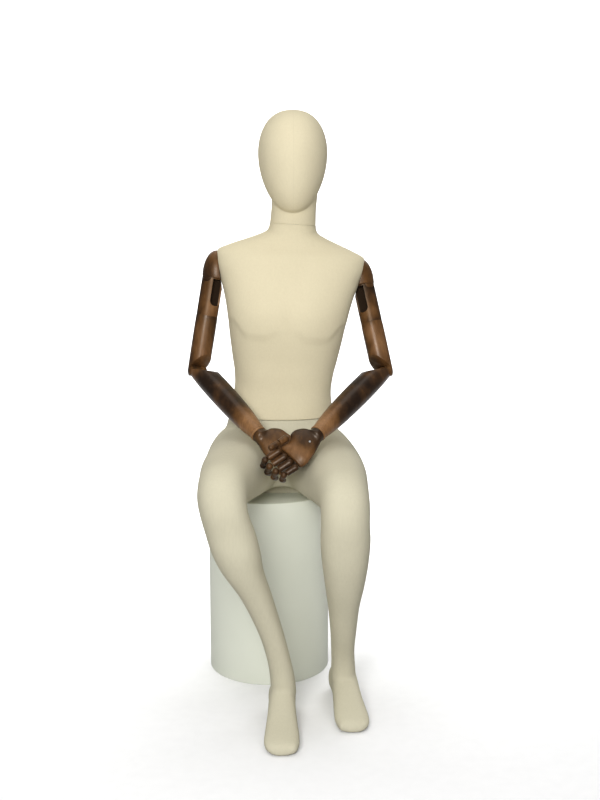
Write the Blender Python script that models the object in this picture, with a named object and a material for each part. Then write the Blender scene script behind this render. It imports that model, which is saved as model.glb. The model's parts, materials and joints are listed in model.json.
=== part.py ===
"""Seated full-body display mannequin on a round plinth: fabric-covered shells and jointed wooden arms.

Metres, +Z up. The figure faces -Y, its right side is -X, and the plinth stands on z = 0 around the origin.
"""

import math

import bmesh
import bpy
from mathutils import Matrix, Vector

# ---- driving dimensions -------------------------------------------------------------------------

GAP = 0.0004              # clearance between touching pieces
WALL = 0.005              # shell thickness of head, torso and lower body
BODY_SEGMENTS = 28        # points round a body section
BODY_POWER = 2.3          # superellipse power of the body sections: a little squarer than an ellipse
LEG_POWER = 2.25
FOOT_POWER = 2.5
PALM_POWER = 2.5
FINGER_POWER = 2.2
ARM_SEGMENTS = 20
FINGER_SEGMENTS = 10

PLINTH_RADIUS = 0.145
PLINTH_HEIGHT = 0.440
PLINTH_WALL = 0.012
PLINTH_BASE_THICK = 0.018

WAIST_Z = 0.627           # seam between lower body and torso
WAIST_X = 0.031
LEAN = math.radians(3.6)  # the torso leans towards its own left (+X)
NECK_HEIGHT = 0.446       # neck seam above the waist seam, along the torso
SPIGOT_RADIUS = 0.014
WAIST_SPIGOT = 0.075      # lengths of the spigots
NECK_SPIGOT = 0.060
LOWER_PLATE = (-0.016, -0.004)    # lower and upper face of each plate, from its seam
UPPER_PLATE = (0.008, 0.020)
NECK_PLATE = (-0.014, -0.002)
COLLAR = (0.004, 0.016)
LOWER_PLATE_FIT = 0.004   # clearance of the waist plates inside the shells
UPPER_PLATE_FIT = 0.006
NECK_FIT = 0.0035         # clearance of the neck's plates inside the shells, so that the head can turn

HEAD_CENTRE = Vector((0.0585, -0.016, 1.213))
HEAD_HALF = Vector((0.0785, 0.100, 0.116))
HEAD_FULLNESS = 0.84        # below 1 for a squarer profile than an ellipsoid's

ARMHOLE_TILT = math.radians(10)
ARMHOLE_HALF_SPAN = 0.1645  # from the torso's middle to the armhole face
ARMHOLE_HEIGHT = 0.334      # middle of the armhole face above the waist seam
PLATE_RADIUS = 0.027
PLATE_THICK = 0.004
DOWEL_RADIUS = 0.003
DOWEL_LENGTH = 0.008
DOWEL_OFFSET = 0.0165

CAP_RISE = 0.064            # top of the shoulder cap above its seam
CAP_HALF = Vector((0.0340, 0.0325, CAP_RISE))
CAP_SHIFT = 0.009           # its middle lies this far inwards of the arm's middle line
ARM_RADIUS = 0.0250         # shoulder block and upper arm
FOREARM_RADIUS = 0.0278     # at its thickest
SEAM_DEPTH = 0.0018         # the chamfer at each side of the swivel seam
SWIVEL_RADIUS = 0.010       # the dowel that the upper arm turns on
SWIVEL_LENGTH = 0.014
TONGUE_THICK = 0.014
PIN_RADIUS = 0.0025
PIN_FRONT = 0.0168          # how far a hinge pin reaches to the front, in a blind hole
PIN_REAR = 0.0183           # and to the rear, where it goes in
SHOULDER_KNUCKLE = 0.0105   # radius of the hinge knuckle at the arm's outer side
ELBOW_KNUCKLE = 0.0143
ELBOW_OFFSET = 0.0105       # the elbow pivot lies this far behind the limbs' middle lines
UPPER_BEVEL = math.radians(50)    # the notch that lets the elbow fold
FOREARM_BEVEL = math.radians(55)
CORNER_BEVEL = math.radians(28)   # a flatter second bevel on the forearm's fold side
CORNER_START = 0.021        # where it starts, across the forearm from the elbow pivot
BLOCK_LENGTH = 0.088        # from the shoulder hinge down to the swivel seam
RECESS_TOP = 0.003          # the block's recess, from its upper face down to where its foot rounds
RECESS_FOOT = 0.053
RECESS_INWARD = 0.0155      # middle of the recess from the block's middle line
RECESS_SIZE = (0.024, 0.026)      # its size to the front and inwards
WRIST_RADIUS = 0.0182
WRIST_DISC_THICK = 0.006

PALM_LENGTH = 0.082
HAND_NORMAL = Vector((0.0, -0.80, 0.60))  # the back of both hands faces forwards and up
SCREW_RADIUS = 0.0022

# Each arm: joint centres, the angle of the hand below the horizontal, the turn of its fingers towards the
# thumb side, and their bends. thumb is the pivot in the hand's frame (ahead, towards the thumb side, towards
# the back) and its way. screw_side is 1 for a set screw in the back of the hand and -1 for one in the palm.
ARMS = {
    "right": {
        "side": -1,
        "shoulder": Vector((-0.1415, 0.000, 0.950)),
        "elbow": Vector((-0.1715, -0.018, 0.732)),
        "wrist": Vector((-0.0205, -0.207, 0.6150)),
        "hand_drop": math.radians(38),
        "finger_turn": 0.0,
        "bends": (80, 40, 24),
        "thumb": ((0.040, 0.0330, -0.0238), (0.84, 0.26, -0.08)),
        "thumb_bend": -4,
        "screw_side": -1,
    },
    "left": {
        "side": 1,
        "shoulder": Vector((0.2385, 0.000, 0.931)),
        "elbow": Vector((0.2745, -0.050, 0.732)),
        "wrist": Vector((0.1065, -0.243, 0.6228)),
        "hand_drop": math.radians(42),
        "finger_turn": math.radians(12),
        "bends": (14, 62, 40),
        "thumb": ((0.0600, 0.0375, 0.0040), (0.970, 0.030, 0.240)),
        "thumb_bend": -2,
        "screw_side": 1,
    },
}

# Fingers: offset towards the thumb side, lengths of the three pieces, radius at the knuckle.
FINGERS = {
    "index": (0.0266, (0.034, 0.023, 0.019), 0.0084),
    "middle": (0.0089, (0.037, 0.025, 0.020), 0.0085),
    "ring": (-0.0088, (0.035, 0.024, 0.019), 0.0084),
    "little": (-0.0258, (0.029, 0.019, 0.016), 0.0077),
}
THUMB = ((0.026, 0.023), 0.0082)
FINGER_TAPER = 0.90         # each piece's far end over its near end

# Palm sections: distance from the wrist, half width, half thickness, shift towards the thumb. The left
# palm is narrower where its thumb lies beside it.
PALM_SECTIONS = {
    "right": (
        (0.014, 0.0245, 0.0152, 0.0035),
        (0.024, 0.0305, 0.0150, 0.0055),
        (0.034, 0.0345, 0.0146, 0.0055),
        (0.046, 0.0362, 0.0138, 0.0038),
        (0.064, 0.0375, 0.0120, 0.0020),
        (PALM_LENGTH, 0.0355, 0.0095, 0.0005),
    ),
    "left": (
        (0.014, 0.0245, 0.0152, 0.0035),
        (0.024, 0.0305, 0.0150, 0.0055),
        (0.034, 0.0340, 0.0146, 0.0055),
        (0.044, 0.0345, 0.0138, 0.0035),
        (0.052, 0.0315, 0.0130, -0.0010),
        (0.064, 0.0310, 0.0118, -0.0045),
        (PALM_LENGTH, 0.0320, 0.0095, -0.0030),
    ),
}
PALM_ROOT = ((2 * GAP, 0.0175), (0.008, 0.0180))   # the round sections at the wrist
SCREW_SEAT = (0.029, -0.006)                       # along the hand and towards the thumb side
SCREW_DEPTH = (0.004, 0.0135)                      # the screw's ends, from the middle of the palm

# Torso sections: height above the waist seam, half width, half depth, middle's y.
TORSO_SECTIONS = (
    (0.000, 0.1230, 0.094, -0.004),
    (0.030, 0.1180, 0.090, -0.004),
    (0.065, 0.1145, 0.088, -0.003),
    (0.100, 0.1175, 0.091, -0.002),
    (0.130, 0.1235, 0.096, 0.000),
    (0.160, 0.1290, 0.102, -0.001),
    (0.190, 0.1340, 0.108, -0.003),
    (0.220, 0.1385, 0.112, -0.005),
    (0.250, 0.1440, 0.113, -0.005),
    (0.285, 0.1530, 0.110, -0.001),
    (0.320, 0.1640, 0.104, 0.004),
    (0.350, 0.1745, 0.096, 0.008),
    (0.376, 0.1730, 0.086, 0.010),
    (0.391, 0.1460, 0.076, 0.010),
    (0.4040, 0.1135, 0.068, 0.008),
    (0.4165, 0.0825, 0.061, 0.005),
    (0.427, 0.0620, 0.056, 0.002),
    (0.436, 0.0555, 0.0545, 0.000),
    (NECK_HEIGHT, 0.0540, 0.0540, -0.001),
)

# Pelvis sections: height, half width, half depth, middle's y.
PELVIS_SECTIONS = (
    (0.425, 0.085, 0.085, 0.022),
    (0.445, 0.118, 0.104, 0.018),
    (0.475, 0.136, 0.116, 0.012),
    (0.510, 0.143, 0.121, 0.006),
    (0.545, 0.141, 0.118, 0.002),
    (0.575, 0.136, 0.111, -0.001),
    (0.605, 0.129, 0.101, -0.004),
    (WAIST_Z - GAP, 0.1225, 0.0935, -0.004),
)

# Legs from the hip down: centre, angle of the section below the horizontal in degrees, half width and
# half height.
LEGS = {
    "right": (
        ((-0.038, 0.060, 0.523), 0, 0.070, 0.066),
        ((-0.044, 0.020, 0.523), 0, 0.088, 0.080),
        ((-0.053, -0.060, 0.524), 0, 0.089, 0.081),
        ((-0.067, -0.150, 0.524), 0, 0.080, 0.071),
        ((-0.082, -0.240, 0.528), 0, 0.068, 0.065),
        ((-0.090, -0.320, 0.532), 5, 0.058, 0.059),
        ((-0.095, -0.370, 0.532), 20, 0.0525, 0.057),
        ((-0.096, -0.400, 0.517), 45, 0.0510, 0.058),
        ((-0.091, -0.412, 0.489), 70, 0.0500, 0.056),
        ((-0.080, -0.406, 0.452), 84, 0.0515, 0.055),
        ((-0.068, -0.398, 0.405), 86, 0.0505, 0.058),
        ((-0.055, -0.385, 0.360), 86, 0.0440, 0.056),
        ((-0.026, -0.368, 0.295), 86, 0.0335, 0.046),
        ((0.003, -0.350, 0.212), 86, 0.0270, 0.036),
        ((0.020, -0.336, 0.145), 86, 0.0255, 0.031),
        ((0.028, -0.326, 0.096), 86, 0.0270, 0.032),
        ((0.030, -0.322, 0.060), 88, 0.0285, 0.034),
    ),
    "left": (
        ((0.096, 0.060, 0.523), 0, 0.070, 0.066),
        ((0.102, 0.020, 0.523), 0, 0.088, 0.080),
        ((0.116, -0.060, 0.522), 0, 0.088, 0.080),
        ((0.133, -0.150, 0.520), 0, 0.081, 0.073),
        ((0.148, -0.240, 0.519), 0, 0.068, 0.067),
        ((0.155, -0.320, 0.517), 5, 0.057, 0.060),
        ((0.157, -0.368, 0.512), 20, 0.0525, 0.057),
        ((0.158, -0.396, 0.494), 45, 0.0510, 0.058),
        ((0.158, -0.402, 0.464), 72, 0.0505, 0.056),
        ((0.159, -0.390, 0.425), 90, 0.0520, 0.056),
        ((0.160, -0.370, 0.375), 98, 0.0490, 0.059),
        ((0.161, -0.345, 0.320), 103, 0.0425, 0.055),
        ((0.161, -0.318, 0.262), 106, 0.0345, 0.046),
        ((0.163, -0.285, 0.190), 106, 0.0288, 0.037),
        ((0.164, -0.258, 0.135), 104, 0.0262, 0.031),
        ((0.166, -0.244, 0.096), 98, 0.0268, 0.032),
        ((0.167, -0.240, 0.060), 92, 0.0285, 0.034),
    ),
}
HOLLOW_LEG_SECTIONS = 13    # the shell is hollow from the hip down to this many sections

# The arch between the thighs, seen from the front: middle, half width, half height, front and rear end.
ARCH_CENTRE = (0.031, 0.436)
ARCH_HALF = (0.052, 0.033)
ARCH_ENDS = (-0.300, -0.045)

# Feet: distance from the heel along the foot, half width, height.
FOOT_SECTIONS = (
    (0.000, 0.012, 0.030),
    (0.008, 0.024, 0.050),
    (0.028, 0.030, 0.074),
    (0.060, 0.0295, 0.084),
    (0.095, 0.0295, 0.079),
    (0.130, 0.032, 0.058),
    (0.165, 0.0355, 0.042),
    (0.195, 0.0375, 0.033),
    (0.218, 0.036, 0.027),
    (0.232, 0.028, 0.021),
    (0.239, 0.014, 0.012),
)
FOOT_CLEARANCE = 0.0006
# Heel position and heading of each foot, in degrees outwards from straight ahead.
FEET = {
    "right": (Vector((0.028, -0.258)), 1.0),
    "left": (Vector((0.164, -0.160)), 4.0),
}

UP = Vector((0.0, 0.0, 1.0))
ACROSS = Vector((1.0, 0.0, 0.0))
FORWARD = Vector((0.0, -1.0, 0.0))
BACKWARD = -FORWARD

# ---- scene, materials ---------------------------------------------------------------------------

for old in list(bpy.data.objects):
    bpy.data.objects.remove(old, do_unlink=True)

mannequin = bpy.data.collections.new("mannequin")
cutters = bpy.data.collections.new("cutters")
cutters.hide_render = True
for collection in (mannequin, cutters):
    bpy.context.scene.collection.children.link(collection)


def principled(name, colour, roughness, metallic=0.0):
    material = bpy.data.materials.new(name)
    material.use_nodes = True
    shader = material.node_tree.nodes["Principled BSDF"]
    shader.inputs["Base Color"].default_value = (*colour, 1.0)
    shader.inputs["Roughness"].default_value = roughness
    shader.inputs["Metallic"].default_value = metallic
    return material


LINEN = principled("linen", (0.61, 0.51, 0.36), 0.85)
JERSEY = principled("jersey", (0.55, 0.51, 0.41), 0.85)
WOOD = principled("stained_wood", (0.13, 0.055, 0.025), 0.38)
STEEL = principled("steel", (0.50, 0.50, 0.50), 0.35, 1.0)
PAINT = principled("plinth_paint", (0.70, 0.72, 0.68), 0.55)
BOARD = principled("board", (0.45, 0.36, 0.25), 0.75)

# ---- shape helpers ------------------------------------------------------------------------------


def add_object(name, mesh, material=None):
    """Links the mesh as a visible part, or as a hidden cutter when it has no material."""
    obj = bpy.data.objects.new(name, mesh)
    if material is None:
        cutters.objects.link(obj)
        obj.hide_render = True
        obj.display_type = "WIRE"
    else:
        mannequin.objects.link(obj)
        mesh.materials.append(material)
    return obj


def section(centre, across, up, half_across, half_up, count, power=2.0):
    """Points of a superellipse round the centre, in the plane of across and up."""
    points = []
    for index in range(count):
        angle = 2 * math.pi * index / count
        c, s = math.cos(angle), math.sin(angle)
        x = math.copysign(abs(c) ** (2 / power), c) * half_across
        y = math.copysign(abs(s) ** (2 / power), s) * half_up
        points.append(Vector(centre) + across * x + up * y)
    return points


def loft(name, sections, material=None):
    """A closed solid through sections that have the same number of points."""
    shape = bmesh.new()
    rings = [[shape.verts.new(point) for point in points] for points in sections]
    count = len(rings[0])
    for lower, upper in zip(rings, rings[1:]):
        for index in range(count):
            after = (index + 1) % count
            shape.faces.new((lower[index], lower[after], upper[after], upper[index]))
    shape.faces.new(list(reversed(rings[0])))
    shape.faces.new(rings[-1])
    bmesh.ops.recalc_face_normals(shape, faces=shape.faces)
    mesh = bpy.data.meshes.new(name)
    shape.to_mesh(mesh)
    shape.free()
    return add_object(name, mesh, material)


def turned_to(axis, centre):
    """A matrix that takes +Z to the axis and the origin to the centre."""
    return Matrix.Translation(centre) @ axis.to_track_quat("Z", "Y").to_matrix().to_4x4()


def cylinder(name, start, end, radius, material=None, segments=24):
    axis = Vector(end) - Vector(start)
    shape = bmesh.new()
    bmesh.ops.create_cone(
        shape, cap_ends=True, segments=segments, radius1=radius, radius2=radius, depth=axis.length
    )
    bmesh.ops.transform(shape, matrix=turned_to(axis, (Vector(start) + Vector(end)) / 2), verts=shape.verts)
    mesh = bpy.data.meshes.new(name)
    shape.to_mesh(mesh)
    shape.free()
    return add_object(name, mesh, material)


def box(name, centre, along, across, sizes, material=None):
    """A box whose length lies along one direction and whose width lies across it."""
    third = along.cross(across)
    axes = Matrix((along, across, third)).transposed().to_4x4()
    shape = bmesh.new()
    bmesh.ops.create_cube(shape, size=1.0)
    bmesh.ops.scale(shape, vec=sizes, verts=shape.verts)
    bmesh.ops.transform(shape, matrix=Matrix.Translation(centre) @ axes, verts=shape.verts)
    bmesh.ops.recalc_face_normals(shape, faces=shape.faces)
    mesh = bpy.data.meshes.new(name)
    shape.to_mesh(mesh)
    shape.free()
    return add_object(name, mesh, material)


def ellipsoid(name, centre, half, material=None, rings=12, segments=24):
    shape = bmesh.new()
    bmesh.ops.create_uvsphere(shape, u_segments=segments, v_segments=rings, radius=1.0)
    bmesh.ops.scale(shape, vec=half, verts=shape.verts)
    bmesh.ops.translate(shape, vec=centre, verts=shape.verts)
    mesh = bpy.data.meshes.new(name)
    shape.to_mesh(mesh)
    shape.free()
    return add_object(name, mesh, material)


def combine(target, other, operation):
    boolean = target.modifiers.new(operation.lower() + "_" + other.name, "BOOLEAN")
    boolean.operation = operation
    boolean.solver = "EXACT"
    boolean.object = other
    return target


def cut(target, *others):
    for other in others:
        combine(target, other, "DIFFERENCE")
    return target


def join(target, *others):
    for other in others:
        combine(target, other, "UNION")
    return target


def keep(target, other):
    return combine(target, other, "INTERSECT")


def set_origin(obj, point, axis=UP):
    """Puts the object's origin on the point and its local Z along its joint's axis. The shape stays."""
    place = turned_to(Vector(axis).normalized(), Vector(point))
    obj.data.transform(place.inverted())
    obj.matrix_world = place


# ---- torso frame --------------------------------------------------------------------------------

TORSO_UP = Vector((math.sin(LEAN), 0.0, math.cos(LEAN)))
TORSO_SIDE = Vector((math.cos(LEAN), 0.0, -math.sin(LEAN)))
WAIST = Vector((WAIST_X, 0.0, WAIST_Z))


def torso_point(side, y, height):
    return WAIST + TORSO_SIDE * side + Vector((0.0, y, 0.0)) + TORSO_UP * height


def armhole(side):
    """(middle, outward normal) of the flat face that an arm bolts to."""
    middle = torso_point(side * ARMHOLE_HALF_SPAN, 0.004, ARMHOLE_HEIGHT)
    normal = TORSO_SIDE * side * math.cos(ARMHOLE_TILT) - TORSO_UP * math.sin(ARMHOLE_TILT)
    return middle, normal


# ---- plinth -------------------------------------------------------------------------------------


def make_plinth():
    drum = cylinder("plinth_drum", (0, 0, 0), (0, 0, PLINTH_HEIGHT), PLINTH_RADIUS, PAINT, 72)
    roof = PLINTH_HEIGHT - PLINTH_WALL
    cut(drum, cylinder("plinth_inside", (0, 0, -0.01), (0, 0, roof), PLINTH_RADIUS - PLINTH_WALL, None, 72))
    radius = PLINTH_RADIUS - PLINTH_WALL - 2 * GAP
    cylinder("plinth_base", (0, 0, 0), (0, 0, PLINTH_BASE_THICK), radius, BOARD, 72)


# ---- lower body ---------------------------------------------------------------------------------


def pelvis(name, inset, top, material=None):
    sections = [
        section((WAIST_X, y, z), ACROSS, BACKWARD, width - inset, depth - inset, BODY_SEGMENTS, BODY_POWER)
        for z, width, depth, y in PELVIS_SECTIONS
    ]
    sections[-1] = [Vector((point.x, point.y, top)) for point in sections[-1]]
    return loft(name, sections, material)


def leg(name, side, inset, count):
    sections = []
    for centre, angle, half_width, half_height in LEGS[side][:count]:
        slope = math.radians(angle)
        up = Vector((0, -math.sin(slope), math.cos(slope)))
        sections.append(
            section(centre, ACROSS, up, half_width - inset, half_height - inset, BODY_SEGMENTS, LEG_POWER)
        )
    return loft(name, sections)


def foot(name, side):
    heel, outwards = FEET[side]
    turn = math.radians(outwards) * ARMS[side]["side"]
    ahead = Vector((math.sin(turn), -math.cos(turn), 0))
    across = Vector((math.cos(turn), math.sin(turn), 0))
    sections = []
    for distance, half_width, height in FOOT_SECTIONS:
        centre = Vector((heel.x, heel.y, FOOT_CLEARANCE + height / 2)) + ahead * distance
        sections.append(section(centre, across, UP, half_width, height / 2, BODY_SEGMENTS, FOOT_POWER))
    return loft(name, sections)


def arch(name, margin):
    """The space between the thighs in front of the seat, made larger by the margin."""
    x, z = ARCH_CENTRE
    half_across, half_up = (size + margin for size in ARCH_HALF)
    front, rear = ARCH_ENDS
    return loft(
        name,
        [
            section((x, y, z), ACROSS, UP, half_across, half_up, BODY_SEGMENTS)
            for y in (front - margin, rear + margin)
        ],
    )


def make_lower_body():
    shell = pelvis("lower_body_shell", 0.0, WAIST_Z - GAP, JERSEY)
    hollow = pelvis("pelvis_hollow", WALL, WAIST_Z + 0.02)
    for side in LEGS:
        join(shell, leg("leg_" + side, side, 0.0, len(LEGS[side])), foot("foot_" + side, side))
        join(hollow, leg("leg_hollow_" + side, side, WALL, HOLLOW_LEG_SECTIONS))
    under = (0.20, 0.34, 0.40)
    middle = PLINTH_HEIGHT - under[0] / 2
    under_seat = box("under_seat", Vector((0, 0, middle + GAP)), UP, FORWARD, under)
    seat_floor = box("seat_floor", Vector((0, 0, middle + WALL)), UP, FORWARD, under)
    cut(hollow, seat_floor, arch("arch_wall", WALL))
    cut(shell, under_seat, arch("arch", 0.0), hollow)
    set_origin(shell, WAIST)


def fitting_sections(sizes, inset, heights, power=BODY_POWER):
    """Sections of a plate that fits inside the torso or the neck at the given heights."""
    width, depth, y = sizes
    half = width - inset, depth - inset
    return [
        section(torso_point(0, y, height), TORSO_SIDE, BACKWARD, *half, BODY_SEGMENTS, power)
        for height in heights
    ]


def make_waist_fittings():
    """A plate in the lower body with a spigot that the torso's plate drops over."""
    inset = WALL + LOWER_PLATE_FIT
    _, width, depth, y = PELVIS_SECTIONS[-1]
    half = width - inset, depth - inset
    lower = [
        section((WAIST_X, y, WAIST_Z + height), ACROSS, BACKWARD, *half, BODY_SEGMENTS, BODY_POWER)
        for height in LOWER_PLATE
    ]
    lower_plate = loft("waist_plate_lower", lower, BOARD)
    foot_point = Vector((WAIST_X, y, WAIST_Z + LOWER_PLATE[0]))
    spigot = cylinder("waist_spigot", foot_point, foot_point + TORSO_UP * WAIST_SPIGOT, SPIGOT_RADIUS, STEEL)
    hole = cylinder(
        "waist_spigot_hole",
        foot_point - TORSO_UP * 0.02,
        foot_point + TORSO_UP * (WAIST_SPIGOT + 0.02),
        SPIGOT_RADIUS + GAP,
    )
    cut(lower_plate, hole)
    _, width, depth, y = TORSO_SECTIONS[0]
    upper = fitting_sections((width, depth, y), WALL + UPPER_PLATE_FIT, UPPER_PLATE)
    upper_plate = loft("waist_plate_upper", upper, BOARD)
    cut(upper_plate, hole)
    for obj in (lower_plate, upper_plate, spigot):
        set_origin(obj, foot_point, TORSO_UP)


# ---- torso --------------------------------------------------------------------------------------


def torso_loft(name, inset, reach, material=None):
    """The torso's outer or inner surface. Its lowest and highest sections reach past the seams."""
    sections = []
    for index, (height, width, depth, y) in enumerate(TORSO_SECTIONS):
        power = BODY_POWER if height < NECK_HEIGHT - 0.06 else 2.1
        if index == 0:
            height -= reach
        if index == len(TORSO_SECTIONS) - 1:
            height += reach
        centre = torso_point(0, y, height)
        across = TORSO_SIDE if index else ACROSS
        sections.append(
            section(centre, across, BACKWARD, width - inset, depth - inset, BODY_SEGMENTS, power)
        )
    return loft(name, sections, material)


def armhole_cutter(name, side, inset):
    middle, normal = armhole(side)
    centre = middle + normal * (0.10 - inset)
    return box(name, centre, normal, BACKWARD, (0.20, 0.30, 0.24))


def make_torso():
    shell = torso_loft("torso_shell", 0.0, 0.0, LINEN)
    hollow = torso_loft("torso_hollow", WALL, 0.01)
    holes = []
    for name, side in (("right", -1), ("left", 1)):
        cut(shell, armhole_cutter("armhole_" + name, side, 0.0))
        cut(hollow, armhole_cutter("armhole_inner_" + name, side, WALL))
        middle, normal = armhole(side)
        reach = normal * 0.02
        holes.append(cylinder("plate_hole_" + name, middle - reach, middle + reach, PLATE_RADIUS + GAP))
    cut(shell, hollow, *holes)
    set_origin(shell, WAIST, TORSO_UP)


def make_neck_fittings():
    _, width, depth, y = TORSO_SECTIONS[-1]
    fittings = []
    for name, faces in (("neck_plate", NECK_PLATE), ("head_collar", COLLAR)):
        heights = [NECK_HEIGHT + face for face in faces]
        sections = fitting_sections((width, depth, y), WALL + NECK_FIT, heights, 2.0)
        fittings.append(loft(name, sections, BOARD))
    plate, collar = fittings
    start = torso_point(0, y, NECK_HEIGHT + NECK_PLATE[0])
    spigot = cylinder("neck_spigot", start, start + TORSO_UP * NECK_SPIGOT, SPIGOT_RADIUS, STEEL)
    end = start + TORSO_UP * (NECK_SPIGOT + 0.02)
    hole = cylinder("neck_hole", start - TORSO_UP * 0.02, end, SPIGOT_RADIUS + GAP)
    cut(plate, hole)
    cut(collar, hole)
    for obj in (plate, spigot, collar):
        set_origin(obj, start, TORSO_UP)


# ---- head ---------------------------------------------------------------------------------------


def head_egg(name, inset, material=None):
    """An egg that narrows towards the chin, as a loft of level sections."""
    rings = 18
    sections = []
    for index in range(1, rings):
        angle = math.pi * index / rings
        height = -math.cos(angle)
        girth = math.sin(angle) ** HEAD_FULLNESS
        narrowing = 1.0 + 0.16 * height - 0.05 * height * height
        centre = HEAD_CENTRE + Vector((0, -0.020 * max(0.0, -height) ** 2, height * (HEAD_HALF.z - inset)))
        sections.append(
            section(
                centre,
                ACROSS,
                BACKWARD,
                (HEAD_HALF.x - inset) * girth * narrowing,
                (HEAD_HALF.y - inset) * girth * (0.5 + 0.5 * narrowing),
                BODY_SEGMENTS,
            )
        )
    return loft(name, sections, material)


def neck(name, inset, low, high):
    sections = []
    for height, radius in ((low, 0.054), (0.02, 0.0525), (0.04, 0.0520), (high, 0.0535)):
        centre = torso_point(0, -0.001, NECK_HEIGHT + height)
        sections.append(
            section(centre, TORSO_SIDE, BACKWARD, radius - inset, radius - inset, BODY_SEGMENTS)
        )
    return loft(name, sections)


def make_head():
    shell = head_egg("head_shell", 0.0, LINEN)
    hollow = head_egg("head_hollow", WALL)
    join(shell, neck("neck", 0.0, GAP, 0.085))
    join(hollow, neck("neck_hollow", WALL, -0.01, 0.085))
    cut(shell, hollow)
    set_origin(shell, torso_point(0, -0.001, NECK_HEIGHT), TORSO_UP)


# ---- arms ---------------------------------------------------------------------------------------


def limb(name, start, direction, across, stations, material):
    """A turned wooden piece: stations are (distance from the start, radius)."""
    up = direction.cross(across)
    sections = [
        section(start + direction * distance, across, up, radius, radius, ARM_SEGMENTS)
        for distance, radius in stations
    ]
    return loft(name, sections, material)


def offset_line(start, end, axis, offset):
    """(direction, length) of the line from start that passes the end at the offset in the bend plane."""
    span = end - start
    turn = math.asin(offset / span.length)
    direction = (Matrix.Rotation(turn, 3, axis) @ span).normalized()
    return direction, math.sqrt(span.length_squared - offset * offset)


def bevel_cutter(name, pivot, axis, remove):
    """A block that removes what lies on one side of a plane through the pivot."""
    size = 0.12
    return box(name, pivot + remove * size / 2, remove, axis, (size, size, size))


def hinge(name, near, far, pivot, axis, radius, envelope, web_way, web_side):
    """Joins two limb pieces by a knuckle on the near one, a tongue on the far one and a steel pin.

    The pin goes in from the rear, so that its end doesn't show at the front.
    """
    half = 0.03

    def disc(kind, half_thick, size):
        start, end = pivot - axis * half_thick, pivot + axis * half_thick
        return cylinder(f"{kind}_{name}", start, end, size, None, 28)

    knuckle = keep(disc("knuckle", half, radius), envelope)
    space = disc("knuckle_space", half, radius + GAP)
    tongue = disc("tongue", TONGUE_THICK / 2, radius - GAP)
    slot = disc("slot", TONGUE_THICK / 2 + GAP, radius + 0.002)
    web_half = radius * 0.42
    web_centre = pivot + web_side * web_half + web_way * (radius + GAP)
    web = box("web_" + name, web_centre, web_way, axis, (2 * radius, TONGUE_THICK, 2 * web_half))
    rear = axis if axis.dot(BACKWARD) > 0 else -axis
    hole = cylinder(
        "pin_hole_" + name, pivot - rear * (PIN_FRONT + GAP), pivot + rear * half, PIN_RADIUS + GAP
    )
    join(near, knuckle)
    cut(near, slot, hole)
    cut(far, space)
    join(far, web, tongue)
    cut(far, hole)
    pin = cylinder(name + "_pin", pivot - rear * PIN_FRONT, pivot + rear * PIN_REAR, PIN_RADIUS, STEEL)
    set_origin(pin, pivot, axis)


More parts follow.
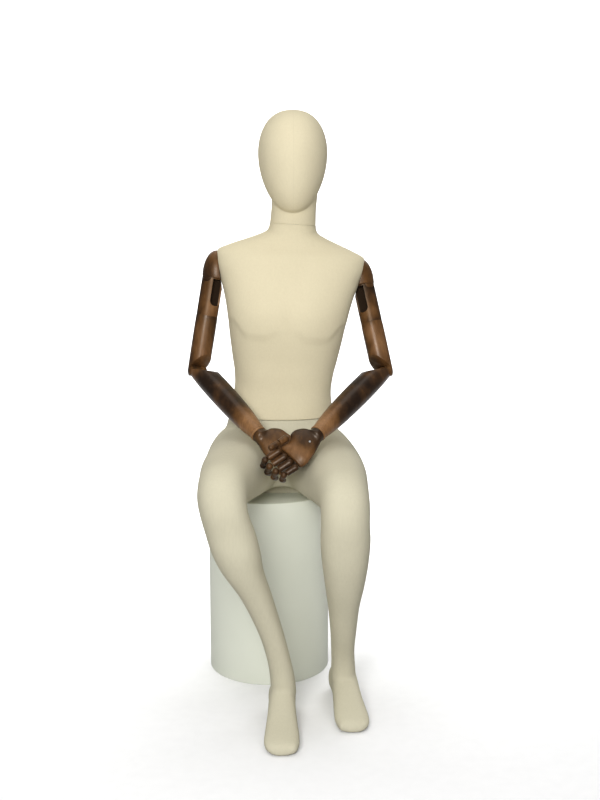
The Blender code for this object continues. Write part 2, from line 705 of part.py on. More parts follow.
def make_arm(side):
    arm = ARMS[side]
    pivot, elbow, wrist = arm["shoulder"], arm["elbow"], arm["wrist"]
    middle, normal = armhole(arm["side"])
    down = (elbow - pivot).normalized()
    shoulder_axis = (BACKWARD - down * BACKWARD.dot(down)).normalized()
    inward = down.cross(shoulder_axis) * -arm["side"]

    # Middle line of the block and upper arm: through the seam's middle, past the elbow pivot.
    top = pivot + inward * (ARM_RADIUS - SHOULDER_KNUCKLE - 0.001)
    elbow_axis = (elbow - top).cross(wrist - elbow).normalized()
    down, upper_length = offset_line(top, elbow, elbow_axis, ELBOW_OFFSET)
    shoulder_axis = (shoulder_axis - down * shoulder_axis.dot(down)).normalized()
    inward = (inward - down * inward.dot(down) - shoulder_axis * inward.dot(shoulder_axis)).normalized()
    forearm_way, forearm_length = offset_line(wrist, elbow, elbow_axis, -ELBOW_OFFSET)
    forearm_way = -forearm_way
    fold = elbow_axis.cross(down)          # from the elbow pivot towards the fold, across the upper arm
    forearm_fold = elbow_axis.cross(forearm_way)

    # Shoulder cap: a dome on the armhole face, flat under, with a knuckle at its outer side.
    dome_centre = top + Vector((-CAP_SHIFT * arm["side"], 0.0, 0.0))
    cap = ellipsoid("shoulder_cap_" + side, dome_centre, CAP_HALF, WOOD, 16, 28)
    below = box("below_cap_" + side, top + down * 0.05, down, shoulder_axis, (0.10, 0.20, 0.20))
    face = box("cap_face_" + side, middle - normal * (0.05 - GAP), normal, BACKWARD, (0.10, 0.3, 0.3))
    cut(cap, below)

    # Block between the shoulder hinge and the swivel seam, with a recess that clears the hinge.
    block = limb(
        "shoulder_block_" + side,
        top,
        down,
        shoulder_axis,
        (
            (GAP, ARM_RADIUS - 0.0006),
            (0.005, ARM_RADIUS),
            (BLOCK_LENGTH - GAP - SEAM_DEPTH, ARM_RADIUS),
            (BLOCK_LENGTH - GAP, ARM_RADIUS - SEAM_DEPTH),
        ),
        WOOD,
    )
    deep, wide = RECESS_SIZE
    recess_side = inward * RECESS_INWARD - shoulder_axis * 0.016
    recess_centre = top + down * (RECESS_TOP + RECESS_FOOT) / 2 + recess_side
    recess_sizes = (RECESS_FOOT - RECESS_TOP, deep, wide)
    recess = box("recess_" + side, recess_centre, down, shoulder_axis, recess_sizes)
    recess_foot = top + down * RECESS_FOOT + recess_side - inward * 0.001
    across_foot = shoulder_axis * deep / 2
    rounded = cylinder("recess_foot_" + side, recess_foot - across_foot, recess_foot + across_foot, deep / 2)
    swivel_hole = cylinder(
        "swivel_hole_" + side,
        top + down * (BLOCK_LENGTH - SWIVEL_LENGTH - GAP),
        top + down * (BLOCK_LENGTH + 0.01),
        SWIVEL_RADIUS + GAP,
    )
    cut(block, recess, rounded, swivel_hole)
    knuckle_ball = Vector((1.0, 1.0, 1.0)) * ARM_RADIUS
    envelope = ellipsoid("cap_envelope_" + side, top, knuckle_ball, None, 16, 28)
    hinge("shoulder_" + side, cap, block, pivot, shoulder_axis, SHOULDER_KNUCKLE, envelope, down, -inward)

    # Round plate that turns in the armhole, with two dowels into the cap.
    plate = cylinder("shoulder_plate_" + side, middle - normal * PLATE_THICK, middle, PLATE_RADIUS, STEEL)
    for offset in (-DOWEL_OFFSET, DOWEL_OFFSET):
        root = middle + Vector((0, offset, 0))
        tag = f"{side}_{'front' if offset < 0 else 'rear'}"
        dowel_end = root + normal * DOWEL_LENGTH
        join(plate, cylinder("dowel_" + tag, root - normal * 0.002, dowel_end, DOWEL_RADIUS))
        hole_end = root + normal * (DOWEL_LENGTH + GAP)
        cut(cap, cylinder("dowel_hole_" + tag, root - normal * 0.01, hole_end, DOWEL_RADIUS + GAP))
    cut(cap, face)
    cut(block, face)
    set_origin(cap, middle, normal)
    set_origin(plate, middle, normal)
    set_origin(block, pivot, shoulder_axis)

    # Upper arm, bevelled above the elbow so that the forearm can fold.
    upper = limb(
        "upper_arm_" + side,
        top,
        down,
        elbow_axis,
        (
            (BLOCK_LENGTH + GAP, ARM_RADIUS - SEAM_DEPTH),
            (BLOCK_LENGTH + GAP + SEAM_DEPTH, ARM_RADIUS),
            (BLOCK_LENGTH + 0.030, ARM_RADIUS + 0.0006),
            (upper_length - 0.040, ARM_RADIUS + 0.0004),
            (upper_length, ARM_RADIUS),
        ),
        WOOD,
    )
    swivel = cylinder(
        "swivel_" + side,
        top + down * (BLOCK_LENGTH - SWIVEL_LENGTH),
        top + down * (BLOCK_LENGTH + 0.01),
        SWIVEL_RADIUS,
    )
    join(upper, swivel)
    away = (down * math.cos(UPPER_BEVEL) + fold * math.sin(UPPER_BEVEL)).normalized()
    cut(upper, bevel_cutter("upper_bevel_" + side, elbow + away * GAP, elbow_axis, away))

    # Forearm, bevelled to match, with a tongue between the upper arm's cheeks.
    forearm = limb(
        "forearm_" + side,
        wrist - forearm_way * forearm_length,
        forearm_way,
        elbow_axis,
        (
            (-0.006, 0.0215),
            (0.000, 0.0243),
            (0.018, ARM_RADIUS + 0.0010),
            (0.22 * forearm_length, FOREARM_RADIUS),
            (0.48 * forearm_length, FOREARM_RADIUS),
            (0.76 * forearm_length, 0.0248),
            (forearm_length - WRIST_DISC_THICK - GAP, WRIST_RADIUS),
        ),
        WOOD,
    )
    back_off = (forearm_fold * math.sin(FOREARM_BEVEL) - forearm_way * math.cos(FOREARM_BEVEL)).normalized()
    cut(forearm, bevel_cutter("forearm_bevel_" + side, elbow + back_off * GAP, elbow_axis, back_off))
    corner = elbow + (forearm_fold + forearm_way * math.tan(FOREARM_BEVEL)) * CORNER_START
    away = forearm_fold * math.cos(CORNER_BEVEL) - forearm_way * math.sin(CORNER_BEVEL)
    cut(forearm, bevel_cutter("forearm_corner_" + side, corner, elbow_axis, away))
    envelope = ellipsoid(
        "elbow_envelope_" + side, elbow + fold * ELBOW_OFFSET, knuckle_ball, None, 16, 28
    )
    outwards = -forearm_fold
    hinge(
        "elbow_" + side, upper, forearm, elbow, elbow_axis, ELBOW_KNUCKLE, envelope, forearm_way, outwards
    )
    set_origin(upper, top + down * BLOCK_LENGTH, down)
    set_origin(forearm, elbow, elbow_axis)

    disc = cylinder(
        "wrist_disc_" + side,
        wrist - forearm_way * WRIST_DISC_THICK,
        wrist - forearm_way * GAP,
        WRIST_RADIUS + 0.0006,
        WOOD,
    )
    set_origin(disc, wrist, forearm_way)
    make_hand(side, wrist, forearm_way)


# ---- hands --------------------------------------------------------------------------------------


def hand_frame(side):
    """(fingers' way, thumb side, back of the hand) of the hand."""
    arm = ARMS[side]
    drop = arm["hand_drop"]
    normal = HAND_NORMAL.normalized()
    level = Vector((-arm["side"], 0, 0))
    downhill = Vector((0, -normal.z, normal.y))
    ahead = level * math.cos(drop) + downhill * math.sin(drop)
    thumb = ahead.cross(normal) * arm["side"]
    return ahead, thumb, normal


def phalanx(name, pivot, way, hinge_axis, length, radius, next_radius):
    """A finger piece: a ball about its pivot, a tapering shaft, and a flat end or, on a tip, a round one."""
    third = way.cross(hinge_axis)
    stations = [(-radius * math.cos(angle), radius * math.sin(angle)) for angle in (0.32, 0.75, 1.2)]
    far = radius * FINGER_TAPER
    if next_radius:
        end = length - next_radius - GAP
        stations += [(0.003, radius), (0.55 * end, radius * 0.93), (end, far)]
    else:
        stations += [(0.003, radius), (0.55 * length, radius * 0.95)]
        stations += [(length - far * 0.8 * (1 - math.sin(a)), far * math.cos(a)) for a in (0.2, 0.75, 1.2)]
    sections = [
        section(pivot + way * distance, hinge_axis, third, size, size, FINGER_SEGMENTS, FINGER_POWER)
        for distance, size in stations
    ]
    piece = loft(name, sections, WOOD)
    set_origin(piece, pivot, hinge_axis)


def make_finger(prefix, pivot, way, hinge_axis, lengths, radius, bends):
    """A chain of pieces, each bent about the hinge axis by its own angle."""
    radii = [radius * FINGER_TAPER**index for index in range(len(lengths))]
    for index, (length, bend) in enumerate(zip(lengths, bends)):
        way = Matrix.Rotation(math.radians(bend), 3, hinge_axis) @ way
        following = radii[index + 1] if index + 1 < len(radii) else 0.0
        phalanx(f"{prefix}_{index + 1}", pivot, way, hinge_axis, length, radii[index], following)
        pivot = pivot + way * length


def make_hand(side, wrist, forearm_way):
    arm = ARMS[side]
    ahead, thumb_side, back = hand_frame(side)
    halfway = (forearm_way + ahead).normalized()
    sections = []
    for way, (distance, radius) in zip((forearm_way, halfway), PALM_ROOT):
        across = (thumb_side - way * thumb_side.dot(way)).normalized()
        third = (back - way * back.dot(way) - across * back.dot(across)).normalized()
        sections.append(section(wrist + way * distance, across, third, radius, radius, 24))
    for distance, half_width, half_thick, shift in PALM_SECTIONS[side]:
        centre = wrist + ahead * distance + thumb_side * shift
        sections.append(section(centre, thumb_side, back, half_width, half_thick, 24, PALM_POWER))
    palm = loft("palm_" + side, sections, WOOD)
    set_origin(palm, wrist, forearm_way)

    turn = arm["finger_turn"]
    fingers_way = ahead * math.cos(turn) + thumb_side * math.sin(turn)
    curl_axis = back.cross(fingers_way)  # turns the fingers from straight ahead towards the palm
    for finger, (offset, lengths, radius) in FINGERS.items():
        pivot = wrist + ahead * (PALM_LENGTH + GAP + radius) + thumb_side * offset
        make_finger(f"{finger}_{side}", pivot, fingers_way, curl_axis, lengths, radius, arm["bends"])

    def in_hand(ahead_by, thumb_by, back_by):
        return ahead * ahead_by + thumb_side * thumb_by + back * back_by

    lengths, radius = THUMB
    place, pointing = arm["thumb"]
    way = in_hand(*pointing).normalized()
    thumb_axis = (back - way * back.dot(way)).normalized() * arm["side"]
    bends = (0, arm["thumb_bend"])
    make_finger(f"thumb_{side}", wrist + in_hand(*place), way, thumb_axis, lengths, radius, bends)

    # Set screw in the hand, which clamps the wrist fitting.
    seat = wrist + in_hand(*SCREW_SEAT, 0.0)
    outwards = back * arm["screw_side"]
    inner, outer = (outwards * depth for depth in SCREW_DEPTH)
    cut(palm, cylinder("screw_hole_" + side, seat + inner, seat + outwards * 0.03, SCREW_RADIUS + GAP))
    screw = cylinder(
        "hand_screw_" + side, seat + inner + outwards * GAP, seat + outer, SCREW_RADIUS, STEEL, 16
    )
    set_origin(screw, seat, outwards)


# ---- build --------------------------------------------------------------------------------------

make_plinth()
make_lower_body()
make_waist_fittings()
make_torso()
make_neck_fittings()
make_head()
for arm_side in ARMS:
    make_arm(arm_side)
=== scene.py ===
"""Looks of the seated display mannequin: linen and jersey shells, stained wooden arms and hands, and a
painted plinth."""

import json
import math

import bmesh
import bpy
import numpy as np
from mathutils import Matrix, Vector


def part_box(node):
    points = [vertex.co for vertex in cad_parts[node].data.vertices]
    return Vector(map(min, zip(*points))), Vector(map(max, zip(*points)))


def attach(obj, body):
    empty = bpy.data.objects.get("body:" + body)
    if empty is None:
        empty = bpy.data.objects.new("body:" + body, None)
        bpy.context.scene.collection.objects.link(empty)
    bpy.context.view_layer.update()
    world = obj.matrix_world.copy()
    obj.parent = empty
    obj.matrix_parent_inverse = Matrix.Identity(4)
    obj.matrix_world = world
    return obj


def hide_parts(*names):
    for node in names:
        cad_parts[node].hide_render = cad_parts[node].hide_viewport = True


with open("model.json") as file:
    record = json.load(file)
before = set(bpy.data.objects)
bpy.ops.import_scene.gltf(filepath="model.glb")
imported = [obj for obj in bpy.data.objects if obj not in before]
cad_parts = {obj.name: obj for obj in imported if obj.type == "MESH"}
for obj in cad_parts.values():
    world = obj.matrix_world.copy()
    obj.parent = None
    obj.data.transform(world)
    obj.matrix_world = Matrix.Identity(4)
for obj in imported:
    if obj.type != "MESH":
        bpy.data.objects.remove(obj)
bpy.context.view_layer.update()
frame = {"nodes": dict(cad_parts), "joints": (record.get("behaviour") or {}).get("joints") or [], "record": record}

# ---- dimensions that the CAD part shares --------------------------------------------------------

GAP = 0.0004
WALL = 0.005
WAIST_Z = 0.627
WAIST_X = 0.031
NECK_HEIGHT = 0.446
PLINTH_WALL = 0.012
PLINTH_CHAMFER = 0.0025
HEAD_CENTRE = Vector((0.0585, -0.016, 1.213))
HEAD_HALF = Vector((0.0785, 0.100, 0.116))
HEAD_FULLNESS = 0.84
CAP_HALF = Vector((0.0340, 0.0325, 0.064))
CAP_SHIFT = 0.009
ARM_RADIUS = 0.0250
FOREARM_RADIUS = 0.0278
SEAM_DEPTH = 0.0018
SWIVEL_RADIUS = 0.010
SWIVEL_LENGTH = 0.014
TONGUE_THICK = 0.014
PIN_RADIUS = 0.0025
PIN_FRONT = 0.0168
SHOULDER_KNUCKLE = 0.0105
ELBOW_KNUCKLE = 0.0143
ELBOW_OFFSET = 0.0105
UPPER_BEVEL = math.radians(50)
FOREARM_BEVEL = math.radians(55)
CORNER_BEVEL = math.radians(28)
CORNER_START = 0.021
BLOCK_LENGTH = 0.088
RECESS_TOP = 0.003
RECESS_FOOT = 0.053
RECESS_INWARD = 0.0155
RECESS_SIZE = (0.024, 0.026)
ARCH_CENTRE = (0.031, 0.436)
ARCH_HALF = (0.052, 0.033)
ARCH_ENDS = (-0.300, -0.045)
WRIST_RADIUS = 0.0182
WRIST_DISC_THICK = 0.006
PALM_LENGTH = 0.082
PLATE_RADIUS = 0.027
ARMHOLE_SIZE = (0.20, 0.30, 0.24)
# Section powers: 2 is an ellipse and more is squarer.
PELVIS_POWER = 2.3
LEG_POWER = 2.25
FOOT_POWER = 2.5
PALM_POWER = 2.5
FINGER_POWER = 2.2

# ---- dimensions that only the looks have --------------------------------------------------------

SEAM_GROOVE = (0.0036, 0.0016)  # depth and height of the groove at the waist
CHEST_RISE = 0.0036
BREASTBONE_DEPTH = 0.0014
FINGER_SLIMMING = 0.985  # of the CAD finger's radius, so that bent fingers stay clear of each other
KNUCKLE_LENGTH = 0.007  # the end of the palm over which its edge rounds off
KNUCKLE_NARROWING = 0.0045
KNUCKLE_THINNING = 0.0055

SIDES = {"right": -1, "left": 1}
UP = Vector((0.0, 0.0, 1.0))
ACROSS = Vector((1.0, 0.0, 0.0))
BACKWARD = Vector((0.0, 1.0, 0.0))

# Torso: height above the waist seam, half width, half depth, middle's y.
TORSO_SECTIONS = (
    (0.000, 0.1230, 0.094, -0.004),
    (0.030, 0.1180, 0.090, -0.004),
    (0.065, 0.1145, 0.088, -0.003),
    (0.100, 0.1175, 0.091, -0.002),
    (0.130, 0.1235, 0.096, 0.000),
    (0.160, 0.1290, 0.102, -0.001),
    (0.190, 0.1340, 0.108, -0.003),
    (0.220, 0.1385, 0.112, -0.005),
    (0.250, 0.1440, 0.113, -0.005),
    (0.285, 0.1530, 0.110, -0.001),
    (0.320, 0.1640, 0.104, 0.004),
    (0.350, 0.1745, 0.096, 0.008),
    (0.376, 0.1730, 0.086, 0.010),
    (0.391, 0.1460, 0.076, 0.010),
    (0.4040, 0.1135, 0.068, 0.008),
    (0.4165, 0.0825, 0.061, 0.005),
    (0.427, 0.0620, 0.056, 0.002),
    (0.436, 0.0555, 0.0545, 0.000),
    (NECK_HEIGHT, 0.0540, 0.0540, -0.001),
)

# Pelvis: height, half width, half depth, middle's y.
PELVIS_SECTIONS = (
    (0.425, 0.085, 0.085, 0.022),
    (0.445, 0.118, 0.104, 0.018),
    (0.475, 0.136, 0.116, 0.012),
    (0.510, 0.143, 0.121, 0.006),
    (0.545, 0.141, 0.118, 0.002),
    (0.575, 0.136, 0.111, -0.001),
    (0.605, 0.129, 0.101, -0.004),
    (WAIST_Z, 0.1225, 0.0935, -0.004),
)

# Legs from the hip down: centre, tilt of the section in degrees, half width, half height.
LEGS = {
    "right": (
        (-0.038, 0.060, 0.523, 0, 0.070, 0.066),
        (-0.044, 0.020, 0.523, 0, 0.088, 0.080),
        (-0.053, -0.060, 0.524, 0, 0.089, 0.081),
        (-0.067, -0.150, 0.524, 0, 0.080, 0.071),
        (-0.082, -0.240, 0.528, 0, 0.068, 0.065),
        (-0.090, -0.320, 0.532, 5, 0.058, 0.059),
        (-0.095, -0.370, 0.532, 20, 0.0525, 0.057),
        (-0.096, -0.400, 0.517, 45, 0.0510, 0.058),
        (-0.091, -0.412, 0.489, 70, 0.0500, 0.056),
        (-0.080, -0.406, 0.452, 84, 0.0515, 0.055),
        (-0.068, -0.398, 0.405, 86, 0.0505, 0.058),
        (-0.055, -0.385, 0.360, 86, 0.0440, 0.056),
        (-0.026, -0.368, 0.295, 86, 0.0335, 0.046),
        (0.003, -0.350, 0.212, 86, 0.0270, 0.036),
        (0.020, -0.336, 0.145, 86, 0.0255, 0.031),
        (0.028, -0.326, 0.096, 86, 0.0270, 0.032),
        (0.030, -0.322, 0.060, 88, 0.0285, 0.034),
    ),
    "left": (
        (0.096, 0.060, 0.523, 0, 0.070, 0.066),
        (0.102, 0.020, 0.523, 0, 0.088, 0.080),
        (0.116, -0.060, 0.522, 0, 0.088, 0.080),
        (0.133, -0.150, 0.520, 0, 0.081, 0.073),
        (0.148, -0.240, 0.519, 0, 0.068, 0.067),
        (0.155, -0.320, 0.517, 5, 0.057, 0.060),
        (0.157, -0.368, 0.512, 20, 0.0525, 0.057),
        (0.158, -0.396, 0.494, 45, 0.0510, 0.058),
        (0.158, -0.402, 0.464, 72, 0.0505, 0.056),
        (0.159, -0.390, 0.425, 90, 0.0520, 0.056),
        (0.160, -0.370, 0.375, 98, 0.0490, 0.059),
        (0.161, -0.345, 0.320, 103, 0.0425, 0.055),
        (0.161, -0.318, 0.262, 106, 0.0345, 0.046),
        (0.163, -0.285, 0.190, 106, 0.0288, 0.037),
        (0.164, -0.258, 0.135, 104, 0.0262, 0.031),
        (0.166, -0.244, 0.096, 98, 0.0268, 0.032),
        (0.167, -0.240, 0.060, 92, 0.0285, 0.034),
    ),
}
# Feet: distance from the heel along the foot, half width, height.
FOOT_SECTIONS = (
    (0.000, 0.012, 0.030),
    (0.008, 0.024, 0.050),
    (0.028, 0.030, 0.074),
    (0.060, 0.0295, 0.084),
    (0.095, 0.0295, 0.079),
    (0.130, 0.032, 0.058),
    (0.165, 0.0355, 0.042),
    (0.195, 0.0375, 0.033),
    (0.218, 0.036, 0.027),
    (0.232, 0.028, 0.021),
    (0.239, 0.014, 0.012),
)
FOOT_CLEARANCE = 0.0006
# Toes: distance from the heel, distance from the foot's middle towards the other foot, radius.
TOES = (
    (0.220, 0.0230, 0.0125),
    (0.226, 0.0065, 0.0095),
    (0.220, -0.0075, 0.0088),
    (0.211, -0.0195, 0.0082),
    (0.199, -0.0290, 0.0078),
)

# Palm sections: distance from the wrist, half width, half thickness, shift towards the thumb. The left
# palm is narrower where its thumb lies beside it.
PALM_SECTIONS = {
    "right": (
        (0.014, 0.0245, 0.0152, 0.0035),
        (0.024, 0.0305, 0.0150, 0.0055),
        (0.034, 0.0345, 0.0146, 0.0055),
        (0.046, 0.0362, 0.0138, 0.0038),
        (0.064, 0.0375, 0.0120, 0.0020),
        (PALM_LENGTH, 0.0355, 0.0095, 0.0005),
    ),
    "left": (
        (0.014, 0.0245, 0.0152, 0.0035),
        (0.024, 0.0305, 0.0150, 0.0055),
        (0.034, 0.0340, 0.0146, 0.0055),
        (0.044, 0.0345, 0.0138, 0.0035),
        (0.052, 0.0315, 0.0130, -0.0010),
        (0.064, 0.0310, 0.0118, -0.0045),
        (PALM_LENGTH, 0.0320, 0.0095, -0.0030),
    ),
}
FEET = {"right": (0.028, -0.258, 1.0), "left": (0.164, -0.160, 4.0)}

joints = {joint["name"]: joint for joint in frame["joints"]}


def joint_place(name):
    """(position, axis) of a joint at rest."""
    joint = joints[name]
    position = Vector(joint["pos_m"]) if "pos_m" in joint else None
    return position, Vector(joint["axis"]).normalized()


TORSO_UP = joint_place("torso_lift")[1]
TORSO_SIDE = Vector((TORSO_UP.z, 0.0, -TORSO_UP.x))
WAIST = Vector((WAIST_X, 0.0, WAIST_Z))


def torso_point(side, y, height):
    return WAIST + TORSO_SIDE * side + Vector((0.0, y, 0.0)) + TORSO_UP * height


# ---- mesh helpers -------------------------------------------------------------------------------


def spline(rows, per_span):
    """Rows of numbers with per_span steps between each two of them, on a smooth curve through all."""
    rows = np.array(rows, float)
    padded = np.vstack([2 * rows[0] - rows[1], rows, 2 * rows[-1] - rows[-2]])
    out = []
    for k in range(1, len(padded) - 2):
        a, b, c, d = padded[k - 1 : k + 3]
        for step in range(per_span):
            t = step / per_span
            square, cube = (2 * a - 5 * b + 4 * c - d) * t**2, (3 * b - a - 3 * c + d) * t**3
            out.append(0.5 * (2 * b + (c - a) * t + square + cube))
    out.append(rows[-1])
    return out


def ring(centre, across, up, half_across, half_up, count, power=2.0):
    points = []
    for index in range(count):
        angle = 2 * math.pi * index / count
        c, s = math.cos(angle), math.sin(angle)
        x = math.copysign(abs(c) ** (2 / power), c) * half_across
        y = math.copysign(abs(s) ** (2 / power), s) * half_up
        points.append(Vector(centre) + across * x + up * y)
    return points


def new_object(name, mesh):
    obj = bpy.data.objects.new(name, mesh)
    bpy.context.scene.collection.objects.link(obj)
    return obj


def from_bmesh(name, shape):
    bmesh.ops.recalc_face_normals(shape, faces=shape.faces)
    mesh = bpy.data.meshes.new(name)
    shape.to_mesh(mesh)
    shape.free()
    return new_object(name, mesh)


def loft(name, rings):
    shape = bmesh.new()
    levels = [[shape.verts.new(point) for point in points] for points in rings]
    count = len(levels[0])
    for lower, upper in zip(levels, levels[1:]):
        for index in range(count):
            after = (index + 1) % count
            shape.faces.new((lower[index], lower[after], upper[after], upper[index]))
    shape.faces.new(list(reversed(levels[0])))
    shape.faces.new(levels[-1])
    return from_bmesh(name, shape)


def turned_to(axis, centre):
    return Matrix.Translation(centre) @ axis.to_track_quat("Z", "Y").to_matrix().to_4x4()


def cylinder(name, start, end, radius, segments=64):
    start, end = Vector(start), Vector(end)
    axis = end - start
    shape = bmesh.new()
    bmesh.ops.create_cone(
        shape, cap_ends=True, segments=segments, radius1=radius, radius2=radius, depth=axis.length
    )
    bmesh.ops.transform(shape, matrix=turned_to(axis, (start + end) / 2), verts=shape.verts)
    return from_bmesh(name, shape)


def box(name, centre, along, across, sizes):
    axes = Matrix((along, across, along.cross(across))).transposed().to_4x4()
    shape = bmesh.new()
    bmesh.ops.create_cube(shape, size=1.0)
    bmesh.ops.scale(shape, vec=sizes, verts=shape.verts)
    bmesh.ops.transform(shape, matrix=Matrix.Translation(centre) @ axes, verts=shape.verts)
    return from_bmesh(name, shape)


def ellipsoid(name, centre, half, rings=48, segments=96):
    shape = bmesh.new()
    bmesh.ops.create_uvsphere(shape, u_segments=segments, v_segments=rings, radius=1.0)
    bmesh.ops.scale(shape, vec=half, verts=shape.verts)
    bmesh.ops.translate(shape, vec=centre, verts=shape.verts)
    return from_bmesh(name, shape)


def bake_modifiers(obj):
    """Replaces the mesh by its evaluated form and drops the modifiers."""
    bpy.context.view_layer.update()
    graph = bpy.context.evaluated_depsgraph_get()
    mesh = bpy.data.meshes.new_from_object(obj.evaluated_get(graph), depsgraph=graph)
    obj.modifiers.clear()
    old, obj.data = obj.data, mesh
    bpy.data.meshes.remove(old)
    return obj


def boolean(target, operation, *others):
    for other in others:
        step = target.modifiers.new(operation, "BOOLEAN")
        step.operation = operation
        step.solver = "EXACT"
        step.object = other
    bake_modifiers(target)
    for other in others:
        bpy.data.objects.remove(other, do_unlink=True)
    return target


def cut(target, *others):
    return boolean(target, "DIFFERENCE", *others)


def join(target, *others):
    return boolean(target, "UNION", *others)


def merge(name, pieces):
    """One object that holds the meshes of all the pieces, which may overlap."""
    shape = bmesh.new()
    for piece in pieces:
        shape.from_mesh(piece.data)
        bpy.data.objects.remove(piece, do_unlink=True)
    mesh = bpy.data.meshes.new(name)
    shape.to_mesh(mesh)
    shape.free()
    return new_object(name, mesh)


def remesh(obj, voxel, smoothing):
    step = obj.modifiers.new("remesh", "REMESH")
    step.mode = "VOXEL"
    step.voxel_size = voxel
    step.use_smooth_shade = True
    if smoothing:
        step = obj.modifiers.new("smooth", "SMOOTH")
        step.factor = 0.5
        step.iterations = smoothing
    return bake_modifiers(obj)


def soften(obj, width, segments=2, angle=40):
    """Rounds the sharp edges a little."""
    step = obj.modifiers.new("bevel", "BEVEL")
    step.width = width
    step.segments = segments
    step.limit_method = "ANGLE"
    step.angle_limit = math.radians(angle)
    step.use_clamp_overlap = True
    return bake_modifiers(obj)


def shade(obj, angle=38):
    obj.data.shade_smooth()
    obj.data.set_sharp_from_angle(angle=math.radians(angle))
    return obj


def finish_piece(obj, body, slot, material, *nodes):
    obj.data.materials.clear()
    obj.data.materials.append(material)
    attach(obj, body)
    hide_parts(*nodes)
    return obj


# ---- materials ----------------------------------------------------------------------------------


class Graph:
    """A short way to write a material's node tree."""

    def __init__(self, name):
        self.material = bpy.data.materials.new(name)
        self.material.use_nodes = True
        self.tree = self.material.node_tree
        self.shader = self.tree.nodes["Principled BSDF"]
        self.coords = self.tree.nodes.new("ShaderNodeTexCoord")

    def link(self, source, target):
        self.tree.links.new(source, target)

    def place(self, scale=(1, 1, 1), offset=(0, 0, 0), turn=(0, 0, 0)):
        node = self.tree.nodes.new("ShaderNodeMapping")
        node.inputs["Scale"].default_value = scale
        node.inputs["Location"].default_value = offset
        node.inputs["Rotation"].default_value = turn
        self.link(self.coords.outputs["Object"], node.inputs["Vector"])
        return node.outputs["Vector"]

    def noise(self, vector, scale, detail=4.0, rough=0.55, distortion=0.0):
        node = self.tree.nodes.new("ShaderNodeTexNoise")
        node.inputs["Scale"].default_value = scale
        node.inputs["Detail"].default_value = detail
        node.inputs["Roughness"].default_value = rough
        node.inputs["Distortion"].default_value = distortion
        self.link(vector, node.inputs["Vector"])
        return node.outputs["Fac"]

    def along(self, direction, start, length):
        """0 to 1 from the start along the direction."""
        node = self.tree.nodes.new("ShaderNodeVectorMath")
        node.operation = "DOT_PRODUCT"
        self.link(self.coords.outputs["Object"], node.inputs[0])
        node.inputs[1].default_value = tuple(direction / length)
        return self.math("SUBTRACT", node.outputs["Value"], start.dot(direction) / length)

    def inside(self, direction, start, radius):
        """1 nearer than the radius to the line from start, and 0 outside it."""
        offset = self.tree.nodes.new("ShaderNodeVectorMath")
        offset.operation = "SUBTRACT"
        self.link(self.coords.outputs["Object"], offset.inputs[0])
        offset.inputs[1].default_value = tuple(start)
        across = self.tree.nodes.new("ShaderNodeVectorMath")
        across.operation = "CROSS_PRODUCT"
        self.link(offset.outputs["Vector"], across.inputs[0])
        across.inputs[1].default_value = tuple(direction)
        size = self.tree.nodes.new("ShaderNodeVectorMath")
        size.operation = "LENGTH"
        self.link(across.outputs["Vector"], size.inputs[0])
        return self.ramp(self.math("DIVIDE", size.outputs["Value"], 2 * radius), ((0.46, 1.0), (0.50, 0.0)))

    def bands(self, vector, direction, scale, distortion=0.0):
        node = self.tree.nodes.new("ShaderNodeTexWave")
        node.bands_direction = direction
        node.inputs["Scale"].default_value = scale
        node.inputs["Distortion"].default_value = distortion
        node.inputs["Detail Scale"].default_value = 3.0
        self.link(vector, node.inputs["Vector"])
        return node.outputs["Fac"]

    def ramp(self, source, stops):
        node = self.tree.nodes.new("ShaderNodeValToRGB")
        elements = node.color_ramp.elements
        while len(elements) < len(stops):
            elements.new(0.5)
        for element, (at, colour) in zip(elements, stops):
            element.position = at
            element.color = (*colour, 1.0) if hasattr(colour, "__len__") else (colour, colour, colour, 1.0)
        self.link(source, node.inputs["Fac"])
        return node.outputs["Color"]

    def math(self, operation, first, second):
        node = self.tree.nodes.new("ShaderNodeMath")
        node.operation = operation
        for socket, value in zip(node.inputs, (first, second)):
            if isinstance(value, (int, float)):
                socket.default_value = value
            else:
                self.link(value, socket)
        return node.outputs["Value"]

    def mix(self, factor, first, second, blend="MIX"):
        node = self.tree.nodes.new("ShaderNodeMix")
        node.data_type = "RGBA"
        node.blend_type = blend
        for name, value in (("Factor", factor), ("A", first), ("B", second)):
            socket = [s for s in node.inputs if s.name == name and (s.type == "RGBA" or name == "Factor")][0]
            if isinstance(value, (int, float)):
                socket.default_value = value
            elif isinstance(value, tuple):
                socket.default_value = (*value, 1.0)
            else:
                self.link(value, socket)
        return [s for s in node.outputs if s.type == "RGBA"][0]

    def bump(self, height, strength, distance, before=None):
        node = self.tree.nodes.new("ShaderNodeBump")
        node.inputs["Strength"].default_value = strength
        node.inputs["Distance"].default_value = distance
        self.link(height, node.inputs["Height"])
        if before is not None:
            self.link(before, node.inputs["Normal"])
        return node.outputs["Normal"]

    def finish(self, colour, roughness, normal=None):
        self.link(colour, self.shader.inputs["Base Color"])
        self.link(roughness, self.shader.inputs["Roughness"])
        if normal is not None:
            self.link(normal, self.shader.inputs["Normal"])
        return self.material


